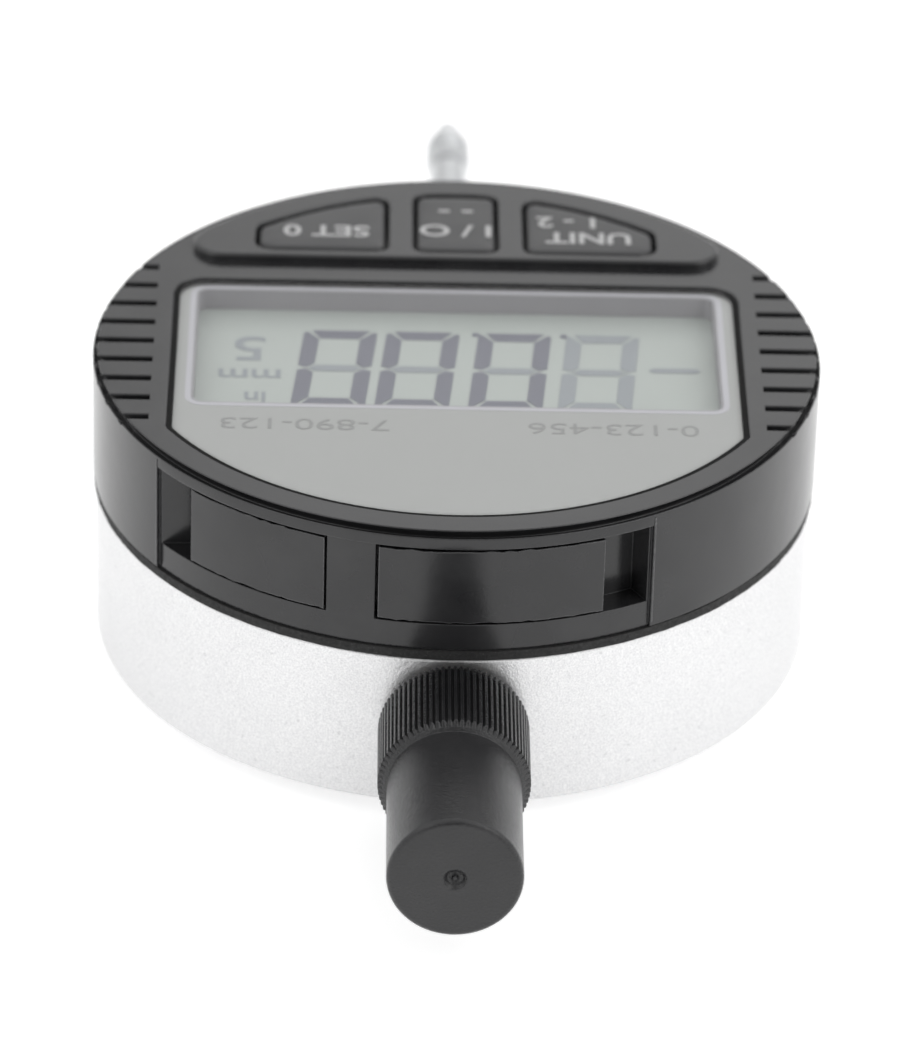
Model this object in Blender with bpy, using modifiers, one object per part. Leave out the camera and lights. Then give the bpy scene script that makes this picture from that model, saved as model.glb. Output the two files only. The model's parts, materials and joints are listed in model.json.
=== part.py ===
"""Digital dial indicator with 12.7 mm of travel, as an assembly of separate pieces.

The indicator lies on its flat back. The origin is the centre of the back cover's outer face, +Z points
out of the display and the spindle runs along Y: the contact point is at +Y and the dust cap at -Y.
Every length in this file is in millimetres; MM turns it into metres where an object is made.
Angles round the case are in degrees from -Y towards +X, so 0 is the side that the dust cap is on.
"""

import math

import bmesh
import bpy
from mathutils import Euler, Matrix, Vector

MM = 0.001
WELD = 1e-6

# Heights of the stacked layers, from the plane that the indicator rests on.
COVER_TOP = 1.9
CASE_LOW = 1.5
LEDGE = 2.2
DECK_LOW = 13.4
DECK_TOP = 14.8
RING_LOW = 15.66
CHASSIS_LOW = 15.9
CHASSIS_TOP = 16.9
NECK_TOP = 16.95
BOARD_LOW = 19.3
BOARD_TOP = 20.3
GLASS_LOW = 22.4
GLASS_TOP = 24.0
MASK_LOW = 25.0
MASK_TOP = 25.2
LIP_TOP = 25.75
FACE_LOW = 25.24
FACE_TOP = 26.24
PANEL_TOP = 26.9

# Facets of the large round pieces, the same on each so that they stay in step.
RING_STEPS = 60

# Radii about the centre of the dial.
RING_R = 29.0
RING_BORE = 26.6
THICK_WALL_BORE = 25.6
PAD_R = 28.72
COVER_BACK_R = 27.5
RECESS_R = 26.5
FACE_R = 28.72
UNDERCUT_R = 28.2
PANEL_R = 27.4
CASE_R = 28.75
CASE_BORE = 25.0
BACK_COVER_R = 26.0
NECK_R = 12.2
NECK_BORE = 9.0
BOARD_R = 25.2

# Spindle line.
AXIS_Z = 8.8
SPINDLE_R = 1.75
RUNNING_FIT = 0.07
STOP_R = 3.1
STEM_R = 4.0
STEM_BORE = 2.3
STEM_ROOT = 22.5
STEM_END = 49.0
SPINDLE_TOP = -31.5
SPINDLE_NOSE = 63.4

# Mechanism inside the case: heights, and where the guide rod and the spring's two pins stand.
CARRIAGE_LOW = AXIS_Z - 3.25
CARRIAGE_TOP = AXIS_Z + 2.45
SCALE_LOW = CARRIAGE_TOP + 0.15
SCALE_TOP = SCALE_LOW + 0.5
SENSOR_LOW = SCALE_TOP + 0.3
SENSOR_TOP = SENSOR_LOW + 0.8
GUIDE_X = -10.5
GUIDE_R = 1.0
PIN_R = 0.7
PIN_LOW = AXIS_Z - 1.75
SPRING_X = 10.0
SPRING_MOVING_Y = 3.0
SPRING_FIXED_Y = 19.0

# Dust cap, measured along -Y.
CAP_NEAR = 29.1
CAP_STEP = 33.9
KNURL_END = 37.65
CAP_END = 50.1
CAP_WALL = 1.4
CAP_THREAD_R = 4.0
CAP_BORE_R = 3.1
KNURL_R = 5.86
KNURL_DEPTH = 0.28
KNURL_TEETH = 60
BARREL_R = 5.16

# Window, keys and grip grooves in the display's face.
WINDOW_HALF = 22.4
WINDOW_FAR = 10.4
WINDOW_R = 26.1
WINDOW_GAP = 0.4
OPENING_HALF = 20.85
OPENING_NEAR = -8.7
OPENING_FAR = 9.7
KEY_NEAR = 14.7
KEY_R = 24.9
KEY_HALF = 3.5
SIDE_KEY_INNER = 5.5
SIDE_KEY_OUTER = 16.4
KEY_GAP = 0.3
PANEL_NEAR = 13.4
GROOVES_A_SIDE = 9
GROOVE_PITCH = 3.06
GROOVE_CENTRE = 0.25
GROOVE_WIDTH = 0.64
GROOVE_INNER = 24.15

# The two covers in the ring's wall, the pad round them and the button cell behind the wider one.
DOOR_LOW = 17.9
DOOR_HIGH = 24.7
PAD_ANGLES = (-53.5, 31.2)
SEAM_ANGLE = 0.5
BATTERY_DOOR = (-12.7, 23.3)
DATA_DOOR = (-45.9, -20.4)
BATTERY_ANGLE = sum(BATTERY_DOOR) / 2
DATA_ANGLE = sum(DATA_DOOR) / 2
HATCH_WALL_LOW = CHASSIS_TOP + 0.3
HATCH_WALL_TOP = MASK_LOW - 0.1
DATA_RECESS_TAPER = 3.4
BATTERY_RADIUS = 5.8
BATTERY_REACH = 20.3
BATTERY_LOW = 18.3
BATTERY_TOP = BATTERY_LOW + 5.35

# Where the keys and the screws are.
KEY_CENTRES = {-1: (-10.5, 18.0), 0: (0.0, 19.6), 1: (10.5, 18.0)}
SENSOR_SCREWS = ((6.9, 11.5), (-6.9, -11.5))
BOARD_SCREWS = ((19.0, 0.0), (-19.0, 0.0), (13.5, -17.5))
BACK_SCREW_R = 22.9
BACK_SCREW_ANGLES = (45, 135, 225, 315)
RETAINING_SCREW_R = 10.6
RETAINING_SCREW_ANGLES = (30, 150, 270)
DISPLAY_SCREW_R = 24.3
DISPLAY_SCREW_ANGLES = (-75, 75, 180)

FINISHES = {
    "black_plastic": ((0.022, 0.022, 0.024), 0.38, 0.0),
    "silver_case": ((0.78, 0.78, 0.80), 0.34, 1.0),
    "steel": ((0.56, 0.57, 0.58), 0.24, 1.0),
    "dark_steel": ((0.10, 0.10, 0.11), 0.35, 1.0),
    "brass": ((0.66, 0.48, 0.20), 0.30, 1.0),
    "key_rubber": ((0.030, 0.030, 0.033), 0.55, 0.0),
    "seal_rubber": ((0.015, 0.015, 0.015), 0.75, 0.0),
    "clear_lens": ((0.90, 0.92, 0.92), 0.05, 0.0),
    "silver_mask": ((0.47, 0.47, 0.47), 0.45, 0.2),
    "lcd_glass": ((0.45, 0.49, 0.46), 0.20, 0.0),
    "frame_plastic": ((0.42, 0.42, 0.44), 0.55, 0.0),
    "circuit_board": ((0.03, 0.20, 0.09), 0.45, 0.0),
    "copper_scale": ((0.72, 0.42, 0.24), 0.35, 1.0),
    "amber_film": ((0.62, 0.30, 0.05), 0.35, 0.0),
}


# ---------------------------------------------------------------- scene and materials


def clear_scene():
    for obj in list(bpy.data.objects):
        bpy.data.objects.remove(obj, do_unlink=True)


def new_collection(name):
    collection = bpy.data.collections.new(name)
    bpy.context.scene.collection.children.link(collection)
    return collection


def make_material(name):
    colour, roughness, metallic = FINISHES[name]
    made = bpy.data.materials.new(name)
    made.use_nodes = True
    shader = made.node_tree.nodes["Principled BSDF"]
    shader.inputs["Base Color"].default_value = (*colour, 1.0)
    shader.inputs["Roughness"].default_value = roughness
    shader.inputs["Metallic"].default_value = metallic
    return made


clear_scene()
PARTS = new_collection("dial_indicator")
CUTTERS = new_collection("cutters")
MATERIALS = {name: make_material(name) for name in FINISHES}


def pivot(name, at=(0.0, 0.0, 0.0)):
    """An empty on a joint's axis: the pieces that move together are its children."""
    empty = bpy.data.objects.new(name, None)
    empty.empty_display_size = 5 * MM
    empty.location = Vector(at) * MM
    PARTS.objects.link(empty)
    return empty


def part(obj, finish, body=None):
    """Makes obj one piece of the indicator, on the body that carries it."""
    PARTS.objects.link(obj)
    obj.data.materials.clear()
    obj.data.materials.append(MATERIALS[finish])
    if body is not None:
        obj.parent = body
        obj.matrix_parent_inverse = Matrix.Translation(-body.location)
    return obj


# ---------------------------------------------------------------- shapes


def from_bmesh(name, shape):
    mesh = bpy.data.meshes.new(name)
    shape.to_mesh(mesh)
    shape.free()
    return bpy.data.objects.new(name, mesh)


def rod(name, radius, low, high, axis="Z", at=(0.0, 0.0), segments=24):
    """A cylinder from low to high along Z or Y; at holds its other two coordinates."""
    shape = bmesh.new()
    size = {"depth": (high - low) * MM, "radius1": radius * MM, "radius2": radius * MM}
    bmesh.ops.create_cone(shape, cap_ends=True, segments=segments, **size)
    obj = from_bmesh(name, shape)
    middle = (low + high) / 2
    if axis == "Z":
        obj.location = Vector((at[0], at[1], middle)) * MM
    else:
        obj.location = Vector((at[0], middle, at[1])) * MM
        obj.rotation_euler = (math.radians(-90), 0.0, 0.0)
    return obj


def box(name, low, high, bevel=0.0, turn=0.0):
    """A box between two corners, with optional rounded edges, turned about Z through its own middle."""
    shape = bmesh.new()
    size = Vector(high) - Vector(low)
    bmesh.ops.create_cube(shape, size=1.0)
    bmesh.ops.scale(shape, vec=size * MM, verts=shape.verts)
    obj = from_bmesh(name, shape)
    obj.location = (Vector(high) + Vector(low)) / 2 * MM
    obj.rotation_euler = (0.0, 0.0, math.radians(turn))
    if bevel:
        rounding = obj.modifiers.new("rounding", "BEVEL")
        rounding.width = bevel * MM
        rounding.segments = 1
    return obj


def radial_box(name, angle, radius, size, low, high):
    """A box that faces out from the dial's centre: size is its width and its depth."""
    x, y = polar(radius, angle)
    width, depth = size
    return box(name, (x - width / 2, y - depth / 2, low), (x + width / 2, y + depth / 2, high), turn=angle)


def turned(name, profile, segments=64, axis="Z", at=(0.0, 0.0)):
    """A profile of (radius, height) points, down its outer side and back up its inner one, turned.

    Along "Y" and "-Y" the heights run that way, through x and z given by at.
    """
    mesh = bpy.data.meshes.new(name)
    points = [(radius * MM, 0.0, height * MM) for radius, height in profile]
    closed = profile[0][0] > 0 or profile[-1][0] > 0
    edges = [(i, i + 1) for i in range(len(points) - 1)]
    if closed:
        edges.append((len(points) - 1, 0))
    mesh.from_pydata(points, edges, [])
    obj = bpy.data.objects.new(name, mesh)
    screw = obj.modifiers.new("turn", "SCREW")
    screw.steps = segments
    screw.render_steps = segments
    screw.use_merge_vertices = True
    screw.merge_threshold = WELD
    screw.use_smooth_shade = False
    if axis == "Z":
        obj.location = (at[0] * MM, at[1] * MM, 0.0)
    else:
        obj.location = (at[0] * MM, 0.0, at[1] * MM)
        obj.rotation_euler = (math.radians(-90 if axis == "Y" else 90), 0.0, 0.0)
    return obj


def slab(name, outlines, low, high):
    """A flat plate between two heights: the first outline is its edge and any others are holes."""
    curve = bpy.data.curves.new(name, "CURVE")
    curve.dimensions = "2D"
    curve.fill_mode = "BOTH"
    curve.extrude = (high - low) / 2 * MM
    for outline in outlines:
        spline = curve.splines.new("POLY")
        spline.points.add(len(outline) - 1)
        for point, (x, y) in zip(spline.points, outline):
            point.co = (x * MM, y * MM, 0.0, 1.0)
        spline.use_cyclic_u = True
    maker = bpy.data.objects.new(name + "_outline", curve)
    obj = mesh_from_curve(name, maker)
    obj.location = (0.0, 0.0, (low + high) / 2 * MM)
    return obj


def mesh_from_curve(name, maker):
    """The closed mesh of a curve object, which is then removed."""
    bpy.context.scene.collection.objects.link(maker)
    evaluated = maker.evaluated_get(bpy.context.evaluated_depsgraph_get())
    mesh = bpy.data.meshes.new_from_object(evaluated)
    shape = bmesh.new()
    shape.from_mesh(mesh)
    bmesh.ops.remove_doubles(shape, verts=shape.verts, dist=WELD)
    bmesh.ops.recalc_face_normals(shape, faces=shape.faces)
    shape.to_mesh(mesh)
    shape.free()
    mesh.name = name
    bpy.data.objects.remove(maker, do_unlink=True)
    return bpy.data.objects.new(name, mesh)


def wire(name, points, radius):
    """A round wire through points, with closed ends."""
    curve = bpy.data.curves.new(name, "CURVE")
    curve.dimensions = "3D"
    curve.bevel_depth = radius * MM
    curve.bevel_resolution = 1
    curve.use_fill_caps = True
    spline = curve.splines.new("POLY")
    spline.points.add(len(points) - 1)
    for point, place in zip(spline.points, points):
        point.co = (*(value * MM for value in place), 1.0)
    return mesh_from_curve(name, bpy.data.objects.new(name + "_path", curve))


def combine(obj, other, operation):
    """Joins other to obj or cuts it away; other is kept as a hidden guide."""
    if other.name not in CUTTERS.objects:
        CUTTERS.objects.link(other)
    other.hide_render = True
    other.display_type = "WIRE"
    boolean = obj.modifiers.new(other.name, "BOOLEAN")
    boolean.operation = operation
    boolean.object = other
    return obj


def cut(obj, *tools):
    for tool in tools:
        combine(obj, tool, "DIFFERENCE")
    return obj


def join(obj, *additions):
    for addition in additions:
        combine(obj, addition, "UNION")
    return obj


def merge_flats(obj):
    """Welds what the Booleans split and merges the small faces that they leave on flat ground."""
    weld = obj.modifiers.new("weld", "WELD")
    weld.merge_threshold = 3 * WELD
    flats = obj.modifiers.new("flats", "DECIMATE")
    flats.decimate_type = "DISSOLVE"
    flats.angle_limit = math.radians(0.4)
    return obj


# ---------------------------------------------------------------- outlines


def polar(radius, angle):
    """The point at an angle round the case."""
    turn = math.radians(angle)
    return (radius * math.sin(turn), -radius * math.cos(turn))


def arc(radius, start, end, step=4.0):
    """Points along a circle about the dial's centre, from one angle to another."""
    count = max(2, math.ceil(abs(end - start) / step) + 1)
    return [polar(radius, start + (end - start) * i / (count - 1)) for i in range(count)]


def sector(inner, outer, angles):
    """A piece of a ring between two radii and two angles."""
    start, end = angles
    return arc(outer, start, end) + arc(inner, end, start)


def rounded(corners, steps=4):
    """A polygon of (x, y, corner radius) with its corners rounded."""
    outline = []
    count = len(corners)
    for i, (x, y, radius) in enumerate(corners):
        here = Vector((x, y))
        if radius <= 0:
            outline.append((x, y))
            continue
        back = (Vector(corners[i - 1][:2]) - here).normalized()
        ahead = (Vector(corners[(i + 1) % count][:2]) - here).normalized()
        half = back.angle(ahead) / 2
        centre = here + (back + ahead).normalized() * (radius / math.sin(half))
        reach = radius / math.tan(half)
        first = here + back * reach - centre
        last = here + ahead * reach - centre
        sweep = first.angle_signed(last)
        for step in range(steps + 1):
            turn = -sweep * step / steps
            outline.append(tuple(centre + Matrix.Rotation(turn, 2) @ first))
    return outline


def rectangle(left, near, right, far, radius=0.0):
    corners = ((left, near), (right, near), (right, far), (left, far))
    return rounded([(x, y, radius) for x, y in corners])


def window_outline(grow=0.0, far_grow=None):
    """The window: straight sides and far edge, and a near edge that follows the dial."""
    half = WINDOW_HALF + grow
    far = WINDOW_FAR + (grow if far_grow is None else far_grow)
    radius = WINDOW_R + min(grow, 0.35)
    reach = math.degrees(math.asin(half / radius))
    near_edge = [(*point, 0.0) for point in arc(radius, -reach, reach)]
    near_edge[0] = (*near_edge[0][:2], 0.9)
    near_edge[-1] = (*near_edge[-1][:2], 0.9)
    return rounded(near_edge + [(half, far, 2.0), (-half, far, 2.0)])


def key_outline(side, grow=0.0):
    """A key's outline: side is -1, 0 or 1, and its far edge follows the dial."""
    radius = KEY_R + grow
    near = KEY_NEAR - grow
    if side == 0:
        left = -KEY_HALF - grow
        right = KEY_HALF + grow
    else:
        left = SIDE_KEY_INNER - grow
        right = SIDE_KEY_OUTER + grow
    angles = [180 - math.degrees(math.asin(x / radius)) for x in (right, left)]
    far_edge = [(*point, 0.0) for point in arc(radius, *angles)]
    far_edge[0] = (*far_edge[0][:2], 1.5 if side else 1.1)
    far_edge[-1] = (*far_edge[-1][:2], 1.1)
    near_right = (right, near, 1.5 if side else 1.1)
    outline = rounded([(left, near, 1.1), near_right] + far_edge)
    return [(-x, y) for x, y in reversed(outline)] if side < 0 else outline


def panel_outline():
    """The raised panel round the keys."""
    reach = math.degrees(math.acos(PANEL_NEAR / PANEL_R))
    corner_r = 2.4
    clear = 10.0
    far_edge = [(*point, 0.0) for point in arc(PANEL_R, 180 - reach + clear, 180 + reach - clear)]
    right, left = ((*polar(PANEL_R, 180 + side * reach), corner_r) for side in (-1, 1))
    return rounded([right, *far_edge, left])


# ---------------------------------------------------------------- fasteners


def screw(name, at, seat, head_r, head_h, shank_r, length, pointing=1, segments=8):
    """A small screw along Z: seat is where the head's underside is, and pointing is the way its shank goes."""
    tip = seat + pointing * length
    head = seat - pointing * head_h
    ends = [(0.0, head), (head_r, head), (head_r, seat), (shank_r, seat), (shank_r, tip), (0.0, tip)]
    return turned(name, ends if pointing < 0 else ends[::-1], segments, at=at)


def cross_slot(fastener, at, head, head_r, deep):
    """Cuts a cross recess up into a screw's head, which faces down."""
    x, y = at
    long = head_r * 0.62
    short = head_r * 0.16
    arms = []
    for name, half_x, half_y in (("slot", long, short), ("slot_across", short, long)):
        low = (x - half_x, y - half_y, head - 1)
        arms.append(box(f"{fastener.name}_{name}", low, (x + half_x, y + half_y, head + deep)))
    return cut(fastener, join(*arms))


def places_round(radius, angles):
    """Numbered points round the dial's centre, from 1."""
    return enumerate((polar(radius, angle) for angle in angles), 1)


# ---------------------------------------------------------------- case


def make_case_shell():
    """The die-cast cup, open at its back, with the neck that the display turns on."""
    shell = turned(
        "case_shell",
        [
            (NECK_BORE, NECK_TOP),
            (NECK_R, NECK_TOP),
            (NECK_R, DECK_TOP),
            (CASE_R, DECK_TOP),
            (CASE_R, CASE_LOW + 0.25),
            (CASE_R - 0.25, CASE_LOW),
            (BACK_COVER_R + 0.3, CASE_LOW),
            (BACK_COVER_R + 0.3, LEDGE),
            (CASE_BORE, LEDGE),
            (CASE_BORE, DECK_LOW),
            (NECK_BORE, DECK_LOW),
        ],
        segments=RING_STEPS,
    )
    into_deck = DECK_LOW + 0.4
    for number, place in places_round(BACK_SCREW_R, BACK_SCREW_ANGLES):
        join(shell, rod(f"cover_boss_{number}", 2.5, LEDGE + 0.05, into_deck, at=place, segments=12))
        cut(shell, rod(f"cover_boss_hole_{number}", 1.05, LEDGE - 1, 8.0, at=place, segments=12))
    for number, place in enumerate(SENSOR_SCREWS, 1):
        join(shell, rod(f"sensor_boss_{number}", 1.5, SENSOR_TOP + 0.1, into_deck, at=place, segments=12))
        cut(shell, rod(f"sensor_boss_hole_{number}", 0.65, SENSOR_LOW, DECK_TOP - 0.4, at=place, segments=12))
    for number, place in places_round(RETAINING_SCREW_R, RETAINING_SCREW_ANGLES):
        cut(shell, rod(f"neck_hole_{number}", 0.65, DECK_TOP, NECK_TOP + 1, at=place, segments=10))
    for side, y in (("near", -19.5), ("far", 19.5)):
        low = (GUIDE_X - 2, y - 1.2, AXIS_Z - 2.15)
        join(shell, box(f"guide_lug_{side}", low, (GUIDE_X + 2, y + 1.2, into_deck)))
    cut(shell, rod("guide_rod_holes", GUIDE_R + 0.08, -21.5, 21.5, axis="Y", at=(GUIDE_X, AXIS_Z), segments=12))
    post = (SPRING_X, SPRING_FIXED_Y)
    join(shell, rod("post_boss", 1.9, AXIS_Z + 2.5, into_deck, at=post, segments=12))
    cut(shell, rod("post_hole", PIN_R + 0.15, AXIS_Z, DECK_LOW + 0.4, at=post, segments=12))
    for name, near, far in (("stem_hole", 20.0, 32.0), ("bush_hole", -32.0, -20.0)):
        cut(shell, rod(name, STEM_R + 0.05, near, far, axis="Y", at=(0.0, AXIS_Z), segments=32))
    part(shell, "silver_case")


def make_back_cover():
    cover = turned(
        "back_cover",
        [
            (0.0, COVER_TOP),
            (BACK_COVER_R, COVER_TOP),
            (BACK_COVER_R, 0.3),
            (BACK_COVER_R - 0.3, 0.0),
            (0.0, 0.0),
        ],
        segments=RING_STEPS,
    )
    seat = 0.95
    head_r = 1.8
    head_h = 0.85
    for number, place in places_round(BACK_SCREW_R, BACK_SCREW_ANGLES):
        cut(cover, rod(f"cover_hole_{number}", 1.1, -1.0, 3.0, at=place, segments=12))
        cut(cover, rod(f"cover_counterbore_{number}", head_r + 0.3, -1.0, seat + 0.1, at=place, segments=12))
        fastener = screw(f"back_cover_screw_{number}", place, seat, head_r, head_h, 0.9, 5.6, segments=16)
        part(cross_slot(fastener, place, seat - head_h, head_r, 0.45), "dark_steel")
    part(cover, "silver_case")


def make_stem():
    stem = turned(
        "stem",
        [
            (STEM_BORE, STEM_END),
            (STEM_R - 0.3, STEM_END),
            (STEM_R, STEM_END - 0.3),
            (STEM_R, STEM_ROOT),
            (STEM_BORE, STEM_ROOT),
        ],
        segments=32,
        axis="Y",
        at=(0.0, AXIS_Z),
    )
    part(stem, "steel")
    bore = SPINDLE_R + RUNNING_FIT
    bush = turned(
        "stem_bush",
        [
            (bore, STEM_END + 0.7),
            (2.7, STEM_END + 0.7),
            (2.9, STEM_END + 0.5),
            (2.9, STEM_END + 0.1),
            (STEM_BORE - 0.08, STEM_END + 0.1),
            (STEM_BORE - 0.08, STEM_END - 7.0),
            (bore, STEM_END - 7.0),
        ],
        segments=24,
        axis="Y",
        at=(0.0, AXIS_Z),
    )
    part(bush, "brass")


def thread(radius, depth, start, end, pitch):
    """The crests and roots of a thread as plain rings, from start down to end."""
    count = round((start - end) / pitch)
    points = []
    for turn in range(count):
        crest = start - turn * pitch
        points += [(radius - depth, crest - pitch * 0.1), (radius, crest - pitch * 0.5)]
    return points + [(radius - depth, end)]


def make_upper_bush():
    """The bush that guides the spindle's upper end; the dust cap screws onto its thread."""
    bore = SPINDLE_R + RUNNING_FIT
    profile = [(bore, 33.5), (3.2, 33.5), *thread(3.72, 0.35, 33.2, 29.4, 0.95)]
    profile += [(3.37, 29.1), (STEM_R, 29.05), (STEM_R, 23.6), (bore, 23.6)]
    part(turned("upper_bush", profile, 24, "-Y", (0.0, AXIS_Z)), "brass")


def make_seal_ring():
    low = DECK_TOP + 0.04
    high = RING_LOW - 0.06
    profile = [(27.2, high), (RING_R, high), (RING_R, low), (27.2, low)]
    part(turned("seal_ring", profile, segments=RING_STEPS), "seal_rubber")


def make_retaining_ring():
    """Holds the display's chassis down on the neck and lets it turn."""
    ring = turned(
        "retaining_ring",
        [(9.3, 17.9), (14.0, 17.9), (14.0, 17.2), (9.3, 17.2)],
        segments=40,
    )
    for number, place in places_round(RETAINING_SCREW_R, RETAINING_SCREW_ANGLES):
        cut(ring, rod(f"retaining_hole_{number}", 0.75, 16.0, 19.0, at=place, segments=12))
        fastener = screw(f"retaining_screw_{number}", place, 17.98, 1.05, 0.6, 0.55, 2.6, pointing=-1)
        part(fastener, "dark_steel")
    part(ring, "steel")


def make_sensor_board():
    """The fixed board that reads the moving scale, hung from the deck by two screws."""
    board = slab("sensor_board", [rectangle(-8.6, -14.0, 8.6, 14.0, 0.8)], SENSOR_LOW, SENSOR_TOP)
    for number, place in enumerate(SENSOR_SCREWS, 1):
        cut(board, rod(f"sensor_hole_{number}", 0.75, SENSOR_LOW - 1, SENSOR_TOP + 1, at=place, segments=12))
        fastener = screw(f"sensor_board_screw_{number}", place, SENSOR_LOW - 0.1, 1.1, 0.6, 0.55, 2.0)
        part(fastener, "dark_steel")
    part(board, "circuit_board")


def make_flex_cable():
    """The flat cable from the fixed board up through the neck, folded in an S that leaves slack for turning."""
    thick = 0.12
    sway = 1.6
    low = SENSOR_TOP + 0.2
    high = BOARD_LOW - 0.3
    steps = 12
    centre = []
    for step in range(steps + 1):
        share = step / steps
        centre.append((sway * math.sin(share * math.tau), low + share * (high - low)))
    left = [(x - thick, z) for x, z in centre]
    right = [(x + thick, z) for x, z in reversed(centre)]
    cable = slab("flex_cable", [left + right], -2.5, 2.5)
    cable.location = (0.0, 0.0, 0.0)
    cable.rotation_euler = Euler((math.radians(90), 0.0, 0.0))
    part(cable, "amber_film")


def make_case():
    make_case_shell()
    make_back_cover()
    make_stem()
    make_upper_bush()
    make_seal_ring()
    make_retaining_ring()
    make_sensor_board()
    make_flex_cable()
    part(rod("guide_rod", GUIDE_R, -21.0, 21.0, axis="Y", at=(GUIDE_X, AXIS_Z), segments=16), "steel")
    part(rod("spring_post", PIN_R, PIN_LOW, DECK_LOW, at=(SPRING_X, SPRING_FIXED_Y), segments=16), "steel")


# ---------------------------------------------------------------- spindle and what moves with it


def make_spindle(body):
    place = (0.0, AXIS_Z)
    nose = SPINDLE_NOSE
    spindle = turned(
        "spindle",
        [
            (0.0, nose - 5.0),
            (1.25, nose - 4.6),
            (1.25, nose),
            (SPINDLE_R - 0.2, nose),
            (SPINDLE_R, nose - 0.2),
            (SPINDLE_R, SPINDLE_TOP + 0.3),
            (SPINDLE_R - 0.3, SPINDLE_TOP),
            (0.0, SPINDLE_TOP),
        ],
        32,
        "Y",
        place,
    )
    part(spindle, "steel", body)
    point = turned(
        "contact_point",
        [
            (0.0, nose + 6.2),
            (0.75, nose + 6.4),
            (1.13, nose + 7.1),
            (1.3, nose + 7.1),
            (2.0, nose + 4.6),
            (2.0, nose + 1.1),
            (1.7, nose + 0.3),
            (1.1, nose + 0.3),
            (1.1, nose - 4.3),
            (0.0, nose - 4.3),
        ],
        24,
        "Y",
        place,
    )
    part(point, "steel", body)
    part(sphere("contact_ball", 1.15, (0.0, nose + 7.6, AXIS_Z), 16), "steel", body)
    bore = SPINDLE_R + 0.05
    stop = [(bore, 21.7), (STOP_R, 21.7), (STOP_R, 20.7), (bore, 20.7)]
    part(turned("stop_collar", stop, 16, "Y", place), "dark_steel", body)
    bumper = [(bore, 22.3), (STOP_R - 0.1, 22.3), (STOP_R - 0.1, 21.8), (bore, 21.8)]
    part(turned("stop_washer", bumper, 16, "Y", place), "seal_rubber", body)


def sphere(name, radius, at, segments):
    shape = bmesh.new()
    bmesh.ops.create_uvsphere(shape, u_segments=segments, v_segments=segments // 2, radius=radius * MM)
    obj = from_bmesh(name, shape)
    obj.location = Vector(at) * MM
    return obj


def make_carriage(body):
    """The clamp on the spindle: it carries the scale, runs on the guide rod and is pulled by the spring."""
    arm_low = AXIS_Z + 1.35
    arm_top = AXIS_Z + 2.4
    carriage = box("carriage", (-5.0, -2.0, CARRIAGE_LOW), (5.0, 8.0, CARRIAGE_TOP), bevel=0.4)
    join(
        carriage,
        box("guide_arm", (-13.2, 0.0, AXIS_Z - 1.85), (-4.5, 6.0, AXIS_Z + 1.85), bevel=0.4),
        box("spring_arm", (4.5, 1.2, arm_low), (11.8, 4.8, arm_top), bevel=0.3),
    )
    clamp = (3.5, 3.0)
    seat = AXIS_Z - 2.25
    spring_pin = (SPRING_X, SPRING_MOVING_Y)
    cut(
        carriage,
        rod("spindle_clamp", SPINDLE_R + 0.05, -4.0, 10.0, axis="Y", at=(0.0, AXIS_Z), segments=32),
        rod("guide_bore", GUIDE_R + RUNNING_FIT, -2.0, 8.0, axis="Y", at=(GUIDE_X, AXIS_Z), segments=24),
        box("clamp_slit", (1.2, -3.0, AXIS_Z - 0.2), (6.0, 9.0, AXIS_Z + 0.2)),
        rod("clamp_hole", 0.8, CARRIAGE_LOW - 1, AXIS_Z + 2.1, at=clamp, segments=16),
        rod("clamp_counterbore", 1.4, CARRIAGE_LOW - 1, seat + 0.1, at=clamp, segments=16),
        rod("spring_pin_hole", PIN_R + 0.1, arm_low - 1, arm_top + 1, at=spring_pin, segments=16),
    )
    part(carriage, "brass", body)
    part(screw("carriage_screw", clamp, seat, 1.25, 0.8, 0.7, 4.2), "dark_steel", body)
    part(rod("spring_pin", PIN_R, PIN_LOW, arm_top - 0.1, at=spring_pin, segments=16), "steel", body)
    scale = slab("scale_strip", [rectangle(-4.2, -10.0, 4.2, 18.0, 0.5)], SCALE_LOW, SCALE_TOP)
    part(scale, "copper_scale", body)


def spring_path(moving_y, fixed_y, turns=11, steps=6):
    """An open coil along Y with a hook round each pin."""
    coil_r = 1.5
    hook_r = 1.1
    near = moving_y + 2.2
    far = fixed_y - 2.2
    points = []
    for step in range(6):
        turn = math.radians(210 - 150 * step / 5)
        points.append((SPRING_X + hook_r * math.sin(turn), moving_y + hook_r * math.cos(turn), AXIS_Z))
    count = turns * steps
    for step in range(count + 1):
        turn = math.tau * step / steps
        y = near + (far - near) * step / count
        points.append((SPRING_X + coil_r * math.cos(turn), y, AXIS_Z + coil_r * math.sin(turn)))
    for step in range(6):
        turn = math.radians(120 - 150 * step / 5)
        points.append((SPRING_X + hook_r * math.sin(turn), fixed_y + hook_r * math.cos(turn), AXIS_Z))
    return points


# ---------------------------------------------------------------- display


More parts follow.
